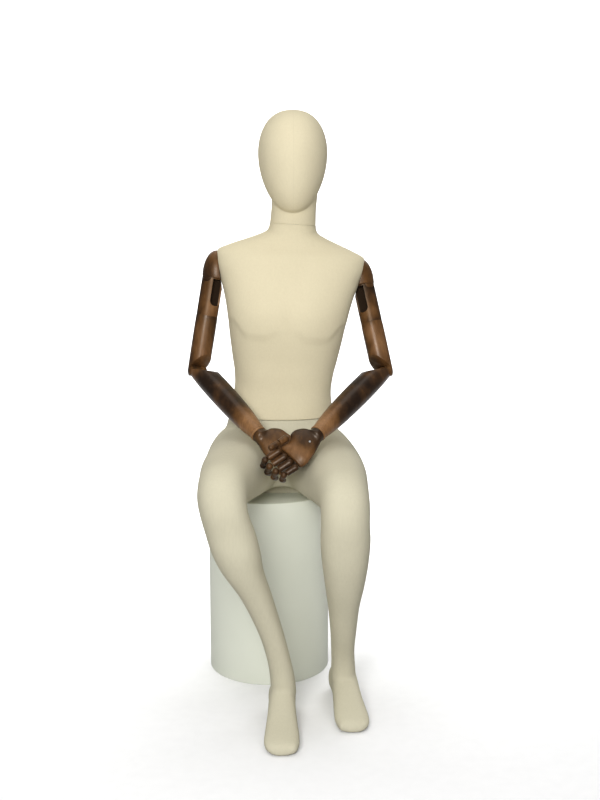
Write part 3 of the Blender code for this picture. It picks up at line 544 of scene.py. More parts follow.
def woven(name, light, dark, thread, streaks, sheen, seam=None):
    """Cloth bonded to a shell: crossing threads, slubs, faint uneven colour and, where seam is given, a
    stitched seam in the upright plane at that x."""
    g = Graph(name)
    flat = g.place()
    split = g.tree.nodes.new("ShaderNodeSeparateXYZ")
    g.link(g.coords.outputs["Normal"], split.inputs["Vector"])
    facing_y = g.math("POWER", g.math("ABSOLUTE", split.outputs["Y"], 0.0), 2.0)
    facing_x = g.math("SUBTRACT", 1.0, facing_y)
    pitch = 0.314 / thread
    weft = g.bands(flat, "Z", pitch, 0.6)
    warp = g.math(
        "ADD",
        g.math("MULTIPLY", g.bands(flat, "X", pitch, 0.6), facing_y),
        g.math("MULTIPLY", g.bands(flat, "Y", pitch, 0.6), facing_x),
    )
    weave = g.math("MULTIPLY", g.math("ADD", weft, warp), 0.5)
    slub = g.noise(g.place(scale=(1, 1, streaks)), 260, 3.0)
    patch = g.noise(g.place(scale=(1, 1, 0.6)), 7.0, 3.0)
    tone = g.math("ADD", g.math("MULTIPLY", patch, 0.55), g.math("MULTIPLY", slub, 0.45))
    colour = g.ramp(tone, ((0.30, dark), (0.68, light)))
    between_threads = g.math("MULTIPLY", g.math("SUBTRACT", 1.0, weave), 0.16)
    colour = g.mix(between_threads, colour, tuple(0.62 * v for v in dark))
    roughness = g.ramp(slub, ((0.0, 0.80), (1.0, 0.95)))
    height = g.math("ADD", weave, g.math("MULTIPLY", slub, 0.8))
    if seam is not None:
        split = g.tree.nodes.new("ShaderNodeSeparateXYZ")
        g.link(g.coords.outputs["Object"], split.inputs["Vector"])
        away = g.math("ABSOLUTE", g.math("SUBTRACT", split.outputs["X"], seam), 0.0)
        line = g.math("SUBTRACT", 1.0, g.math("MINIMUM", g.math("DIVIDE", away, 0.0011), 1.0))
        colour = g.mix(g.math("MULTIPLY", line, 0.12), colour, tuple(0.6 * v for v in dark))
        height = g.math("SUBTRACT", height, g.math("MULTIPLY", line, 0.9))
    g.shader.inputs["Sheen Weight"].default_value = sheen
    g.shader.inputs["Sheen Roughness"].default_value = 0.5
    g.shader.inputs["Sheen Tint"].default_value = (*light, 1.0)
    g.shader.inputs["Specular IOR Level"].default_value = 0.2
    return g.finish(colour, roughness, g.bump(height, 0.35, 0.00025))


def stained(name, offset, start, along, length, zones, painted_shade_radius=0.0):
    """Walnut-stained wood under satin varnish: dark and light clouds, and zones of tone along the piece.
    Faces nearer to the piece's middle line than the given radius, such as the inside of the block's recess, get
    painted shade: a near-black brown, fully rough, and a material given that radius has no coat.
    """
    g = Graph(name)
    turn = Vector(along).rotation_difference(UP).to_euler()
    grainwise = g.place(scale=(1, 1, 0.10), offset=offset, turn=turn)
    blotchwise = g.place(scale=(1, 1, 0.60), offset=offset, turn=turn)
    blotch = g.noise(blotchwise, 13, 2.5, 0.45, 0.4)
    mottle = g.noise(blotchwise, 60, 4.0, 0.6, 0.3)
    grain = g.noise(grainwise, 260, 4.0, 0.6, 0.3)
    zone = g.ramp(g.along(along, start, length), [(place, (tone,) * 3) for place, tone in zones])
    tone = g.math("ADD", g.math("MULTIPLY", blotch, 0.80), g.math("MULTIPLY", mottle, 0.20))
    tone = g.math("ADD", tone, g.math("MULTIPLY", g.math("SUBTRACT", zone, 0.5), 0.34))
    colour = g.ramp(
        tone,
        (
            (0.33, (0.013, 0.006, 0.003)),
            (0.43, (0.042, 0.019, 0.007)),
            (0.52, (0.110, 0.049, 0.015)),
            (0.60, (0.172, 0.082, 0.031)),
            (0.74, (0.290, 0.148, 0.062)),
        ),
    )
    streak = g.ramp(grain, ((0.38, 0.0), (0.62, 1.0)))
    colour = g.mix(g.math("MULTIPLY", streak, 0.22), colour, (0.022, 0.012, 0.007))
    roughness = g.ramp(mottle, ((0.3, 0.31), (0.7, 0.46)))
    # Painted shade: faces near the middle line, inside the recess and other cuts, are made near-black brown and
    # fully rough.
    if painted_shade_radius:
        painted_shade = g.inside(along, start, painted_shade_radius)
        colour = g.mix(painted_shade, colour, (0.016, 0.009, 0.005))
        roughness = g.math("MAXIMUM", roughness, painted_shade)
    g.shader.inputs["Specular Tint"].default_value = (0.85, 0.66, 0.48, 1.0)
    g.shader.inputs["Coat Weight"].default_value = 0.0 if painted_shade_radius else 0.14
    g.shader.inputs["Coat Roughness"].default_value = 0.22
    g.shader.inputs["Specular IOR Level"].default_value = 0.35
    height = g.math("ADD", g.math("MULTIPLY", grain, 0.6), g.math("MULTIPLY", mottle, 0.4))
    return g.finish(colour, roughness, g.bump(height, 0.20, 0.0004))


def painted(name):
    g = Graph(name)
    fine = g.noise(g.place(), 420, 3.0)
    broad = g.noise(g.place(), 5.0, 2.0)
    colour = g.ramp(broad, ((0.3, (0.755, 0.778, 0.665)), (0.7, (0.795, 0.818, 0.700))))
    scuff = g.ramp(g.noise(g.place(scale=(1, 1, 0.3)), 34, 6.0, 0.7), ((0.66, 0.0), (0.80, 1.0)))
    colour = g.mix(g.math("MULTIPLY", scuff, 0.10), colour, (0.56, 0.57, 0.49))
    roughness = g.ramp(fine, ((0.2, 0.50), (0.8, 0.64)))
    return g.finish(colour, roughness, g.bump(fine, 0.12, 0.0003))


def metal(name):
    g = Graph(name)
    scratch = g.noise(g.place(scale=(1, 1, 0.05)), 900, 3.0)
    colour = g.ramp(scratch, ((0.2, (0.34, 0.34, 0.33)), (0.8, (0.48, 0.48, 0.47))))
    roughness = g.ramp(scratch, ((0.2, 0.26), (0.8, 0.44)))
    g.shader.inputs["Metallic"].default_value = 1.0
    return g.finish(colour, roughness, g.bump(scratch, 0.15, 0.0001))


def board(name):
    g = Graph(name)
    fibre = g.noise(g.place(), 380, 6.0, 0.7)
    broad = g.noise(g.place(), 30, 3.0)
    tone = g.math("ADD", g.math("MULTIPLY", fibre, 0.6), g.math("MULTIPLY", broad, 0.4))
    colour = g.ramp(tone, ((0.3, (0.36, 0.27, 0.17)), (0.7, (0.52, 0.42, 0.29))))
    roughness = g.ramp(fibre, ((0.2, 0.70), (0.8, 0.88)))
    return g.finish(colour, roughness, g.bump(fibre, 0.3, 0.0004))


LINEN_LIGHT, LINEN_DARK = (0.725, 0.650, 0.455), (0.665, 0.590, 0.405)
LINEN = woven("linen", LINEN_LIGHT, LINEN_DARK, 0.0009, 0.7, 0.12)
HEAD_LINEN = woven("linen_head", LINEN_LIGHT, LINEN_DARK, 0.0009, 0.7, 0.12, HEAD_CENTRE.x)
JERSEY = woven("jersey", (0.610, 0.572, 0.428), (0.550, 0.513, 0.380), 0.0007, 0.12, 0.10)
STEEL = metal("steel")
BOARD = board("board")
PAINT = painted("plinth_paint")

# ---- plinth -------------------------------------------------------------------------------------


def make_plinth():
    low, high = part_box("plinth_drum")
    radius, top = high.x, high.z
    profile = [(radius - PLINTH_WALL, 0.0), (radius - 0.0008, 0.0), (radius, 0.0008)]
    profile += [(radius, top - PLINTH_CHAMFER)]
    for step in range(1, 6):
        angle = math.pi / 2 * step / 5
        profile.append(
            (radius - PLINTH_CHAMFER * (1 - math.cos(angle)), top - PLINTH_CHAMFER * (1 - math.sin(angle)))
        )
    rings = [ring((0, 0, z), ACROSS, BACKWARD, r, r, 192) for r, z in profile]
    rings.append(ring((0, 0, top), ACROSS, BACKWARD, 0.001, 0.001, 192))
    drum = loft("plinth", rings)
    cut(drum, cylinder("inside", (0, 0, -0.01), (0, 0, top - PLINTH_WALL), radius - PLINTH_WALL, 192))
    finish_piece(shade(drum), "root", "plinth_paint", PAINT, "plinth_drum")


# ---- lower body ---------------------------------------------------------------------------------


def pelvis(name, inset, top):
    rings = [
        ring((WAIST_X, y, z), ACROSS, BACKWARD, width - inset, depth - inset, 128, PELVIS_POWER)
        for z, width, depth, y in spline(PELVIS_SECTIONS, 6)
    ]
    if top > WAIST_Z:
        rings.append([Vector((point.x, point.y, top)) for point in rings[-1]])
    return loft(name, rings)


def leg(name, side, inset, count=None):
    rings = []
    for x, y, z, tilt, half_width, half_height in spline(LEGS[side][:count], 8):
        slope = math.radians(tilt)
        up = Vector((0, -math.sin(slope), math.cos(slope)))
        rings.append(ring((x, y, z), ACROSS, up, half_width - inset, half_height - inset, 96, LEG_POWER))
    return loft(name, rings)


def foot(name, side):
    x, y, outwards = FEET[side]
    turn = math.radians(outwards) * SIDES[side]
    ahead = Vector((math.sin(turn), -math.cos(turn), 0))
    across = Vector((math.cos(turn), math.sin(turn), 0))
    rings = []
    for distance, half_width, height in spline(FOOT_SECTIONS, 6):
        height = max(height, 0.006)
        centre = Vector((x, y, FOOT_CLEARANCE + height / 2)) + ahead * distance
        rings.append(ring(centre, across, UP, max(half_width, 0.004), height / 2, 96, FOOT_POWER))
    toes = []
    for distance, inwards, radius in TOES:
        centre = Vector((x, y, FOOT_CLEARANCE + radius)) + ahead * distance - across * inwards * SIDES[side]
        toes.append(ellipsoid("toe", centre, (radius * 0.9, radius * 1.5, radius), 16, 24))
    return [loft(name, rings), *toes]


def arch(name, margin):
    x, z = ARCH_CENTRE
    half_across, half_up = (size + margin for size in ARCH_HALF)
    front, rear = ARCH_ENDS
    rings = [ring((x, y, z), ACROSS, UP, half_across, half_up, 96) for y in (front - margin, rear + margin)]
    return loft(name, rings)


def seam_step(depth, tall):
    """What lies outside the pelvis's outline at the waist seam: a groove that reads as a dark line."""
    level = WAIST_Z - GAP
    _, width, depth_y, y = PELVIS_SECTIONS[-1]
    centre = (WAIST_X, y)
    rings = []
    for z in (level - tall, level + 0.01):
        rings.append(ring((*centre, z), ACROSS, BACKWARD, width + 0.02, depth_y + 0.02, 128, PELVIS_POWER))
    outer = loft("seam_outer", rings)
    rings = []
    for z in (level - 0.01, level + 0.02):
        rings.append(ring((*centre, z), ACROSS, BACKWARD, width - depth, depth_y - depth, 128, PELVIS_POWER))
    cut(outer, loft("seam_inner", rings))
    return outer


def make_lower_body():
    pieces = [pelvis("pelvis", 0.0, WAIST_Z + 0.02)]
    for side in LEGS:
        pieces += [leg("leg_" + side, side, 0.0), *foot("foot_" + side, side)]
    whole = remesh(merge("lower_body", pieces), 0.0032, 4)
    cut(whole, arch("arch", 0.0))
    shell = remesh(whole, 0.0030, 9)
    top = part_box("plinth_drum")[1].z
    seat = box("seat", Vector((0, 0.02, top - 0.10 + GAP)), UP, BACKWARD, (0.2, 0.40, 0.40))
    above = box("above", Vector((WAIST_X, 0, WAIST_Z - GAP + 0.05)), UP, BACKWARD, (0.10, 0.4, 0.4))
    below = box("below", Vector((0, -0.2, -0.05 + FOOT_CLEARANCE)), UP, BACKWARD, (0.10, 0.8, 0.8))
    hollow = pelvis("hollow", WALL, WAIST_Z + 0.02)
    cut(hollow, box("hollow_foot", Vector((WAIST_X, 0, WAIST_Z - 0.16)), UP, BACKWARD, (0.20, 0.4, 0.4)))
    cut(hollow, arch("arch_wall", WALL))
    cut(shell, seat, above, below, seam_step(*SEAM_GROOVE), hollow)
    finish_piece(shade(shell, 50), "lower_body", "jersey", JERSEY, "lower_body_shell")


# ---- torso --------------------------------------------------------------------------------------


def torso_loft(name, inset, reach, detail=True):
    rings = []
    rows = spline(TORSO_SECTIONS, 7)
    for index, (height, width, depth, y) in enumerate(rows):
        power = 2.35 - 0.25 * min(1.0, max(0.0, (height - 0.37) / 0.03))
        blend = min(1.0, height / 0.02)
        across = (ACROSS * (1 - blend) + TORSO_SIDE * blend).normalized()
        if index == 0:
            height -= reach
        if index == len(rows) - 1:
            height += reach
        points = ring(torso_point(0, y, height), across, BACKWARD, width - inset, depth - inset, 160, power)
        if detail:
            points = [chest(point) for point in points]
        rings.append(points)
    return loft(name, rings)


def smooth_step(value, low, high):
    t = min(1.0, max(0.0, (value - low) / (high - low)))
    return t * t * (3 - 2 * t)


def chest(point):
    """Moves a point of the torso's front out over the chest muscles and in along the breastbone."""
    local = point - WAIST
    side, height = local.dot(TORSO_SIDE), local.dot(TORSO_UP)
    front = smooth_step(-point.y, 0.010, 0.060)
    towards_arm = 0.034 * smooth_step(abs(side), 0.088, 0.128)
    towards_bone = 0.014 * (1 - smooth_step(abs(side), 0.015, 0.050))
    edge = 0.176 + towards_arm + towards_bone
    rise = smooth_step(height - edge, 0.0, 0.022) * (1 - smooth_step(height, 0.215, 0.330))
    lobe = smooth_step(abs(side), 0.006, 0.045)
    bone_height = smooth_step(height, 0.17, 0.22) * (1 - smooth_step(height, 0.29, 0.35))
    bone = math.exp(-((side / 0.010) ** 2)) * bone_height
    outward = (TORSO_SIDE * side / 0.130**2 + Vector((0, point.y / 0.105**2, 0))).normalized()
    return point + outward * (CHEST_RISE * rise * lobe - BREASTBONE_DEPTH * bone) * front


def make_torso():
    shell = torso_loft("torso", 0.0, 0.0)
    hollow = torso_loft("hollow", WALL, 0.01, False)
    holes = []
    for name in SIDES:
        middle, normal = joint_place("arm_swing_" + name)
        cut(shell, box("armhole", middle + normal * 0.10, normal, BACKWARD, ARMHOLE_SIZE))
        cut(hollow, box("armhole_in", middle + normal * (0.10 - WALL), normal, BACKWARD, ARMHOLE_SIZE))
        through = normal * 0.02
        holes.append(cylinder("plate_hole", middle - through, middle + through, PLATE_RADIUS + GAP))
    cut(shell, hollow, *holes)
    soften(shell, 0.0011, 2, 50)
    finish_piece(shade(shell), "torso", "linen", LINEN, "torso_shell")


# ---- head ---------------------------------------------------------------------------------------


def head_egg(name, inset):
    rings = []
    count = 72
    for index in range(1, count):
        angle = math.pi * index / count
        height = -math.cos(angle)
        girth = math.sin(angle) ** HEAD_FULLNESS
        narrowing = 1.0 + 0.16 * height - 0.05 * height * height
        centre = HEAD_CENTRE + Vector((0, -0.020 * max(0.0, -height) ** 2, height * (HEAD_HALF.z - inset)))
        rings.append(
            ring(
                centre,
                ACROSS,
                BACKWARD,
                (HEAD_HALF.x - inset) * girth * narrowing,
                (HEAD_HALF.y - inset) * girth * (0.5 + 0.5 * narrowing),
                128,
            )
        )
    return loft(name, rings)


def neck(name, inset, low, high):
    rings = []
    for height, radius in spline(((low, 0.054), (0.02, 0.0525), (0.04, 0.0520), (high, 0.0535)), 8):
        centre = torso_point(0, -0.001, NECK_HEIGHT + height)
        rings.append(ring(centre, TORSO_SIDE, BACKWARD, radius - inset, radius - inset, 128))
    return loft(name, rings)


def make_head():
    shell = remesh(merge("head", [head_egg("egg", 0.0), neck("neck", 0.0, GAP - 0.012, 0.085)]), 0.0022, 5)
    base = torso_point(0, 0, NECK_HEIGHT + GAP)
    cut(
        shell,
        box("neck_end", base - TORSO_UP * 0.05, TORSO_UP, BACKWARD, (0.10, 0.3, 0.3)),
        neck("neck_bore", WALL, -0.01, 0.085),
    )
    soften(shell, 0.0005, 2, 50)
    finish_piece(shade(shell), "head", "linen", HEAD_LINEN, "head_shell")


# ---- arms ---------------------------------------------------------------------------------------


def limb(name, start, direction, across, stations, segments=72):
    up = direction.cross(across)
    rings = [
        ring(start + direction * distance, across, up, radius, radius, segments)
        for distance, radius in spline(stations, 8)
    ]
    return loft(name, rings)


def offset_line(start, end, axis, offset):
    span = end - start
    turn = math.asin(offset / span.length)
    direction = (Matrix.Rotation(turn, 3, axis) @ span).normalized()
    return direction, math.sqrt(span.length_squared - offset * offset)


def half_space(pivot, axis, remove):
    size = 0.12
    return box("half_space", pivot + remove * size / 2, remove, axis, (size, size, size))


def hinge(near, far, pivot, axis, radius, envelope, web_way, web_side):
    half = 0.03
    knuckle = cylinder("knuckle", pivot - axis * half, pivot + axis * half, radius)
    knuckle = boolean(knuckle, "INTERSECT", envelope)
    space = cylinder("space", pivot - axis * half, pivot + axis * half, radius + GAP)
    tongue_half = TONGUE_THICK / 2
    tongue = cylinder("tongue", pivot - axis * tongue_half, pivot + axis * tongue_half, radius - GAP)
    slot_half = tongue_half + GAP
    slot = cylinder("slot", pivot - axis * slot_half, pivot + axis * slot_half, radius + 0.002)
    web_half = radius * 0.42
    web_centre = pivot + web_side * web_half + web_way * (radius + GAP)
    web = box("web", web_centre, web_way, axis, (2 * radius, TONGUE_THICK, 2 * web_half))
    join(near, knuckle)
    cut(near, slot)
    cut(far, space)
    join(far, web, tongue)
    rear = axis if axis.dot(BACKWARD) > 0 else -axis
    for piece in (near, far):
        start = pivot - rear * (PIN_FRONT + GAP)
        cut(piece, cylinder("pin_hole", start, pivot + rear * half, PIN_RADIUS + GAP, 24))


# Tone along each piece, from 0 for dark to 1 for light.
UPPER_ZONES = ((0.0, 0.50), (0.42, 0.50), (0.50, 0.66), (0.76, 0.74), (1.0, 0.56))
BLOCK_ZONES = ((0.0, 0.36), (0.35, 0.58), (0.70, 0.60), (1.0, 0.38))
CAP_ZONES = ((0.0, 0.26), (0.55, 0.42), (1.0, 0.38))
FOREARM_ZONES = ((0.0, 0.46), (0.16, 0.60), (0.34, 0.22), (0.66, 0.15), (0.84, 0.70), (1.0, 0.86))
HAND_ZONES = ((0.0, 0.36), (0.20, 0.42), (0.40, 0.68), (0.50, 0.56), (0.56, 0.24), (1.0, 0.12))


def make_arm(side):
    sign = SIDES[side]
    middle, normal = joint_place("arm_swing_" + side)
    pivot = joint_place("arm_spread_" + side)[0]
    elbow = joint_place("elbow_bend_" + side)[0]
    wrist = joint_place("wrist_twist_" + side)[0]
    down = (elbow - pivot).normalized()
    shoulder_axis = (BACKWARD - down * BACKWARD.dot(down)).normalized()
    inward = down.cross(shoulder_axis) * -sign
    top = pivot + inward * (ARM_RADIUS - SHOULDER_KNUCKLE - 0.001)
    elbow_axis = (elbow - top).cross(wrist - elbow).normalized()
    down, upper_length = offset_line(top, elbow, elbow_axis, ELBOW_OFFSET)
    shoulder_axis = (shoulder_axis - down * shoulder_axis.dot(down)).normalized()
    inward = (inward - down * inward.dot(down) - shoulder_axis * inward.dot(shoulder_axis)).normalized()
    forearm_way, forearm_length = offset_line(wrist, elbow, elbow_axis, -ELBOW_OFFSET)
    forearm_way = -forearm_way
    fold = elbow_axis.cross(down)
    forearm_fold = elbow_axis.cross(forearm_way)

    offset = (0.3 * sign, 0.0, 0.2)
    upper_wood = stained("wood_upper_" + side, offset, top, down, upper_length, UPPER_ZONES)
    offset = (0.6, 0.2, 0.3 * sign)
    # The last argument is the radius inside which the block's faces, such as its recess, get painted shade in
    # near-black.
    block_wood = stained(
        "wood_block_" + side, offset, top, down, BLOCK_LENGTH, BLOCK_ZONES, ARM_RADIUS - SEAM_DEPTH - 0.001
    )
    offset = (0.1, 0.5 * sign, 0.0)
    cap_wood = stained("wood_cap_" + side, offset, top - down * CAP_HALF.z, down, CAP_HALF.z, CAP_ZONES)
    offset = (0.7, 0.1, 0.4 * sign)
    fore_wood = stained("wood_forearm_" + side, offset, elbow, forearm_way, forearm_length, FOREARM_ZONES)

    dome_centre = top + Vector((-CAP_SHIFT * sign, 0.0, 0.0))
    cap = ellipsoid("shoulder_cap_skin_" + side, dome_centre, CAP_HALF)
    cut(cap, box("below_cap", top + down * 0.05, down, shoulder_axis, (0.10, 0.20, 0.20)))
    block = limb(
        "shoulder_block_skin_" + side,
        top,
        down,
        shoulder_axis,
        (
            (GAP, ARM_RADIUS - 0.0006),
            (0.005, ARM_RADIUS),
            (BLOCK_LENGTH - GAP - SEAM_DEPTH, ARM_RADIUS),
            (BLOCK_LENGTH - GAP, ARM_RADIUS - SEAM_DEPTH),
        ),
    )
    deep, wide = RECESS_SIZE
    recess_side = inward * RECESS_INWARD - shoulder_axis * 0.016
    recess_centre = top + down * (RECESS_TOP + RECESS_FOOT) / 2 + recess_side
    recess = box("recess", recess_centre, down, shoulder_axis, (RECESS_FOOT - RECESS_TOP, deep, wide))
    recess_foot = top + down * RECESS_FOOT + recess_side - inward * 0.001
    across_foot = shoulder_axis * deep / 2
    rounded = cylinder("recess_foot", recess_foot - across_foot, recess_foot + across_foot, deep / 2)
    swivel_hole = cylinder(
        "swivel_hole",
        top + down * (BLOCK_LENGTH - SWIVEL_LENGTH - GAP),
        top + down * (BLOCK_LENGTH + 0.01),
        SWIVEL_RADIUS + GAP,
    )
    cut(block, recess, rounded, swivel_hole)
    ball = Vector((1.0, 1.0, 1.0)) * ARM_RADIUS
    envelope = ellipsoid("envelope", top, ball)
    hinge(cap, block, pivot, shoulder_axis, SHOULDER_KNUCKLE, envelope, down, -inward)
    for piece in (cap, block):
        cut(piece, box("cap_face", middle - normal * (0.05 - GAP), normal, BACKWARD, (0.10, 0.3, 0.3)))
    for piece, body, wood, node in (
        (cap, "shoulder_", cap_wood, "shoulder_cap_"),
        (block, "block_", block_wood, "shoulder_block_"),
    ):
        soften(piece, 0.0007)
        finish_piece(shade(piece), body + side, "stained_wood", wood, node + side)

    upper = limb(
        "upper_arm_skin_" + side,
        top,
        down,
        elbow_axis,
        (
            (BLOCK_LENGTH + GAP, ARM_RADIUS - SEAM_DEPTH),
            (BLOCK_LENGTH + GAP + SEAM_DEPTH, ARM_RADIUS),
            (BLOCK_LENGTH + 0.030, ARM_RADIUS + 0.0006),
            (upper_length - 0.040, ARM_RADIUS + 0.0004),
            (upper_length, ARM_RADIUS),
        ),
    )
    swivel_start = top + down * (BLOCK_LENGTH - SWIVEL_LENGTH)
    join(upper, cylinder("swivel", swivel_start, top + down * (BLOCK_LENGTH + 0.01), SWIVEL_RADIUS))
    away = (down * math.cos(UPPER_BEVEL) + fold * math.sin(UPPER_BEVEL)).normalized()
    cut(upper, half_space(elbow + away * GAP, elbow_axis, away))
    forearm = limb(
        "forearm_skin_" + side,
        wrist - forearm_way * forearm_length,
        forearm_way,
        elbow_axis,
        (
            (-0.006, 0.0215),
            (0.000, 0.0243),
            (0.018, ARM_RADIUS + 0.0010),
            (0.22 * forearm_length, FOREARM_RADIUS),
            (0.48 * forearm_length, FOREARM_RADIUS),
            (0.76 * forearm_length, 0.0248),
            (forearm_length - WRIST_DISC_THICK - GAP, WRIST_RADIUS),
        ),
    )
    back_off = (forearm_fold * math.sin(FOREARM_BEVEL) - forearm_way * math.cos(FOREARM_BEVEL)).normalized()
    cut(forearm, half_space(elbow + back_off * GAP, elbow_axis, back_off))
    corner = elbow + (forearm_fold + forearm_way * math.tan(FOREARM_BEVEL)) * CORNER_START
    away = forearm_fold * math.cos(CORNER_BEVEL) - forearm_way * math.sin(CORNER_BEVEL)
    cut(forearm, half_space(corner, elbow_axis, away))
    envelope = ellipsoid("envelope", elbow + fold * ELBOW_OFFSET, ball)
    hinge(upper, forearm, elbow, elbow_axis, ELBOW_KNUCKLE, envelope, forearm_way, -forearm_fold)
    soften(upper, 0.0007)
    soften(forearm, 0.0014, 3)
    finish_piece(shade(upper), "upper_arm_" + side, "stained_wood", upper_wood, "upper_arm_" + side)
    finish_piece(shade(forearm), "forearm_" + side, "stained_wood", fore_wood, "forearm_" + side)

    disc = cylinder(
        "wrist_ring_" + side,
        wrist - forearm_way * WRIST_DISC_THICK,
        wrist - forearm_way * GAP,
        WRIST_RADIUS + 0.0006,
        96,
    )
    soften(disc, 0.0012, 3)
    finish_piece(shade(disc), "forearm_" + side, "stained_wood", fore_wood, "wrist_disc_" + side)
    make_hand(side, wrist, forearm_way)


# ---- hands --------------------------------------------------------------------------------------

FINGERS = {"index": 3, "middle": 3, "ring": 3, "little": 3, "thumb": 2}


def node_points(node):
    mesh = frame["nodes"][node].data
    points = np.empty(len(mesh.vertices) * 3)
    mesh.vertices.foreach_get("co", points)
    return points.reshape(-1, 3)


def phalanx(name, node, pivot, axis, last):
    """A turned finger piece in the place of its CAD node: a ball end at the pivot and a waisted shaft."""
    points = node_points(node) - np.array(pivot)
    low, high = points.min(axis=0), points.max(axis=0)
    way = Vector(points.mean(axis=0))
    way = (way - axis * way.dot(axis)).normalized()
    third = way.cross(axis)
    along = points @ np.array(way)
    side = np.abs(points @ np.array(axis))
    radius, length = FINGER_SLIMMING * side.max(), along.max()
    rows = []
    for angle in (0.10, 0.32, 0.58, 0.85, 1.15, 1.40):
        rows.append((-radius * math.cos(angle), radius * math.sin(angle)))
    far = radius * 0.90
    if last:
        rows += [(0.003, radius), (0.45 * length, radius * 0.95)]
        for angle in (0.05, 0.35, 0.65, 0.95, 1.20, 1.42):
            rows.append((length - far * 0.85 * (1 - math.sin(angle)), far * math.cos(angle)))
    else:
        rows += [(0.003, radius), (0.50 * length, radius * 0.925)]
        rows += [(length - 0.0012, far), (length, far - 0.0012)]
    rings = [ring(pivot + way * d, axis, third, r, r, 40, FINGER_POWER) for d, r in spline(rows, 3)]
    return loft(name, rings)


def make_hand(side, wrist, forearm_way):
    sign = SIDES[side]
    first = {finger: joint_place(f"{finger}_{side}_bend_1")[0] for finger in FINGERS}
    thumb_side = (first["middle"] - first["ring"]).normalized()
    knuckles = sum((first[f] for f in ("index", "middle", "ring", "little")), Vector()) / 4
    ahead = (knuckles - wrist - thumb_side * (knuckles - wrist).dot(thumb_side)).normalized()
    back = thumb_side.cross(ahead) * sign
    wood = stained("wood_hand_" + side, (0.2 * sign, 0.6, 0.9), wrist, ahead, 0.16, HAND_ZONES)
    halfway = (forearm_way + ahead).normalized()
    centres = []
    for way, distance, radius in ((forearm_way, 2 * GAP, 0.0175), (halfway, 0.008, 0.0180)):
        across = (thumb_side - way * thumb_side.dot(way)).normalized()
        third = (back - way * back.dot(way) - across * back.dot(across)).normalized()
        centres.append((*(wrist + way * distance), *across, *third, radius, radius, 2.0))
    *sections, (end, end_width, end_thick, end_shift) = PALM_SECTIONS[side]
    for angle in (0.0, 0.5, 0.9, 1.25, math.pi / 2):
        less = 1 - math.cos(angle)
        distance = end - KNUCKLE_LENGTH * (1 - math.sin(angle))
        half_width, half_thick = end_width - KNUCKLE_NARROWING * less, end_thick - KNUCKLE_THINNING * less
        sections.append((distance, half_width, half_thick, end_shift))
    for distance, half_width, half_thick, shift in sections:
        centre = wrist + ahead * distance + thumb_side * shift
        centres.append((*centre, *thumb_side, *back, half_width, half_thick, PALM_POWER))
    rings = []
    for row in spline(centres, 6):
        across, third = Vector(row[3:6]), Vector(row[6:9])
        rings.append(ring(Vector(row[0:3]), across, third, row[9], row[10], 96, row[11]))
    palm = loft("palm_skin_" + side, rings)
    seat = wrist + ahead * 0.029 - thumb_side * 0.006
    outwards = back * sign
    cut(palm, cylinder("screw_hole", seat + outwards * 0.004, seat + outwards * 0.03, 0.0026, 32))
    soften(palm, 0.0012, 3)
    finish_piece(shade(palm, 50), "hand_" + side, "stained_wood", wood, "palm_" + side)
    for finger, count in FINGERS.items():
        for number in range(1, count + 1):
            name = f"{finger}_{side}_{number}"
            pivot, axis = joint_place(f"{finger}_{side}_bend_{number}")
            piece = phalanx(f"{finger}_skin_{side}_{number}", name, pivot, axis, number == count)
            finish_piece(shade(piece, 50), name, "stained_wood", wood, name)


# ---- build --------------------------------------------------------------------------------------

make_plinth()
make_lower_body()
make_torso()
make_head()
for arm_side in SIDES:
    make_arm(arm_side)

CARRIED = {"steel": STEEL, "board": BOARD}
slot_of = {sub["node"]: sub["material_slot"] for sub in frame["record"]["subparts"]}
for node, obj in frame["nodes"].items():
    if not obj.hide_render and slot_of[node] in CARRIED:
        obj.data.materials.clear()
        obj.data.materials.append(CARRIED[slot_of[node]])
        shade(obj)

# ---- studio -------------------------------------------------------------------------------------

CAMERA_DISTANCE = 2.6
CAMERA_HEIGHT = 1.1
CAMERA_PITCH = math.radians(9.667)
CAMERA_YAW = math.radians(1.6685)
LENS = 49.659


def make_camera():
    data = bpy.data.cameras.new("camera")
    data.lens = LENS
    data.sensor_width = 36.0
    camera = bpy.data.objects.new("camera", data)
    bpy.context.scene.collection.objects.link(camera)
    camera.location = (0.0, -CAMERA_DISTANCE, CAMERA_HEIGHT)
    direction = Vector(
        (
            math.sin(CAMERA_YAW) * math.cos(CAMERA_PITCH),
            math.cos(CAMERA_YAW) * math.cos(CAMERA_PITCH),
            -math.sin(CAMERA_PITCH),
        )
    )
    camera.rotation_euler = direction.to_track_quat("-Z", "Y").to_euler()
    bpy.context.scene.camera = camera


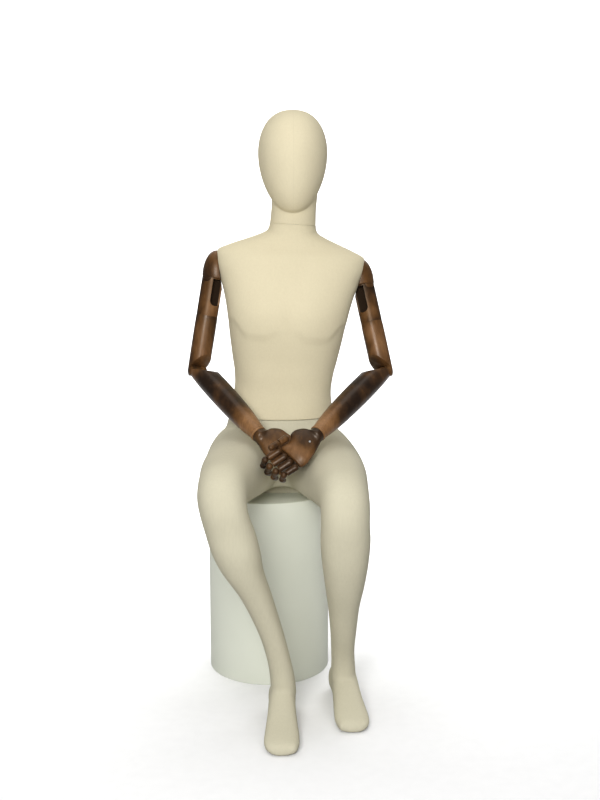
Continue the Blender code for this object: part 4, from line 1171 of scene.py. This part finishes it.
def area_light(name, location, target, size, power):
    data = bpy.data.lights.new(name, "AREA")
    data.shape = "RECTANGLE"
    data.size, data.size_y = size
    data.energy = power
    light = bpy.data.objects.new(name, data)
    bpy.context.scene.collection.objects.link(light)
    light.location = location
    light.rotation_euler = (Vector(target) - Vector(location)).to_track_quat("-Z", "Y").to_euler()


# Lights: name, location, target, size, power.
LIGHTS = (
    ("key", (-0.45, -3.1, 1.75), (0.02, 0.0, 0.80), (1.1, 1.1), 80),
    ("fill", (1.2, -3.0, 1.3), (0.0, 0.0, 0.7), (1.0, 1.4), 12),
    ("top", (0.0, -0.5, 3.8), (0.0, 0.0, 0.0), (3.0, 3.0), 42),
    ("backdrop", (0.0, 1.6, 3.2), (0.0, 4.2, 0.8), (6.0, 1.5), 330),
)
WORLD_STRENGTH = 0.16


def make_studio():
    shape = bmesh.new()
    half, back, bend = 2.6, 3.0, 1.2
    profile = [(-8.0, 0.0)] + [
        (back + bend * math.sin(a), bend * (1 - math.cos(a))) for a in np.linspace(0, math.pi / 2, 17)
    ]
    profile.append((back + bend, 6.0))
    rows = [[shape.verts.new((x, y, z)) for x in (-half, half)] for y, z in profile]
    for low, high in zip(rows, rows[1:]):
        shape.faces.new((low[0], low[1], high[1], high[0]))
    floor = from_bmesh("floor", shape)
    floor.data.shade_smooth()
    g = Graph("floor_paper")
    grain = g.noise(g.place(), 40, 2.0)
    paper = g.ramp(grain, ((0.3, 0.92), (0.7, 0.94)))
    seen = g.tree.nodes.new("ShaderNodeLightPath").outputs["Is Camera Ray"]
    g.finish(g.mix(seen, (0.45, 0.45, 0.45), paper), g.ramp(grain, ((0.0, 0.9), (1.0, 1.0))))
    floor.data.materials.append(g.material)
    world = bpy.data.worlds.new("studio")
    bpy.context.scene.world = world
    world.use_nodes = True
    world.node_tree.nodes["Background"].inputs["Color"].default_value = (1.0, 1.0, 1.0, 1.0)
    world.node_tree.nodes["Background"].inputs["Strength"].default_value = WORLD_STRENGTH
    for light in LIGHTS:
        area_light(*light)


make_camera()
make_studio()
bpy.context.scene.view_settings.view_transform = "Standard"
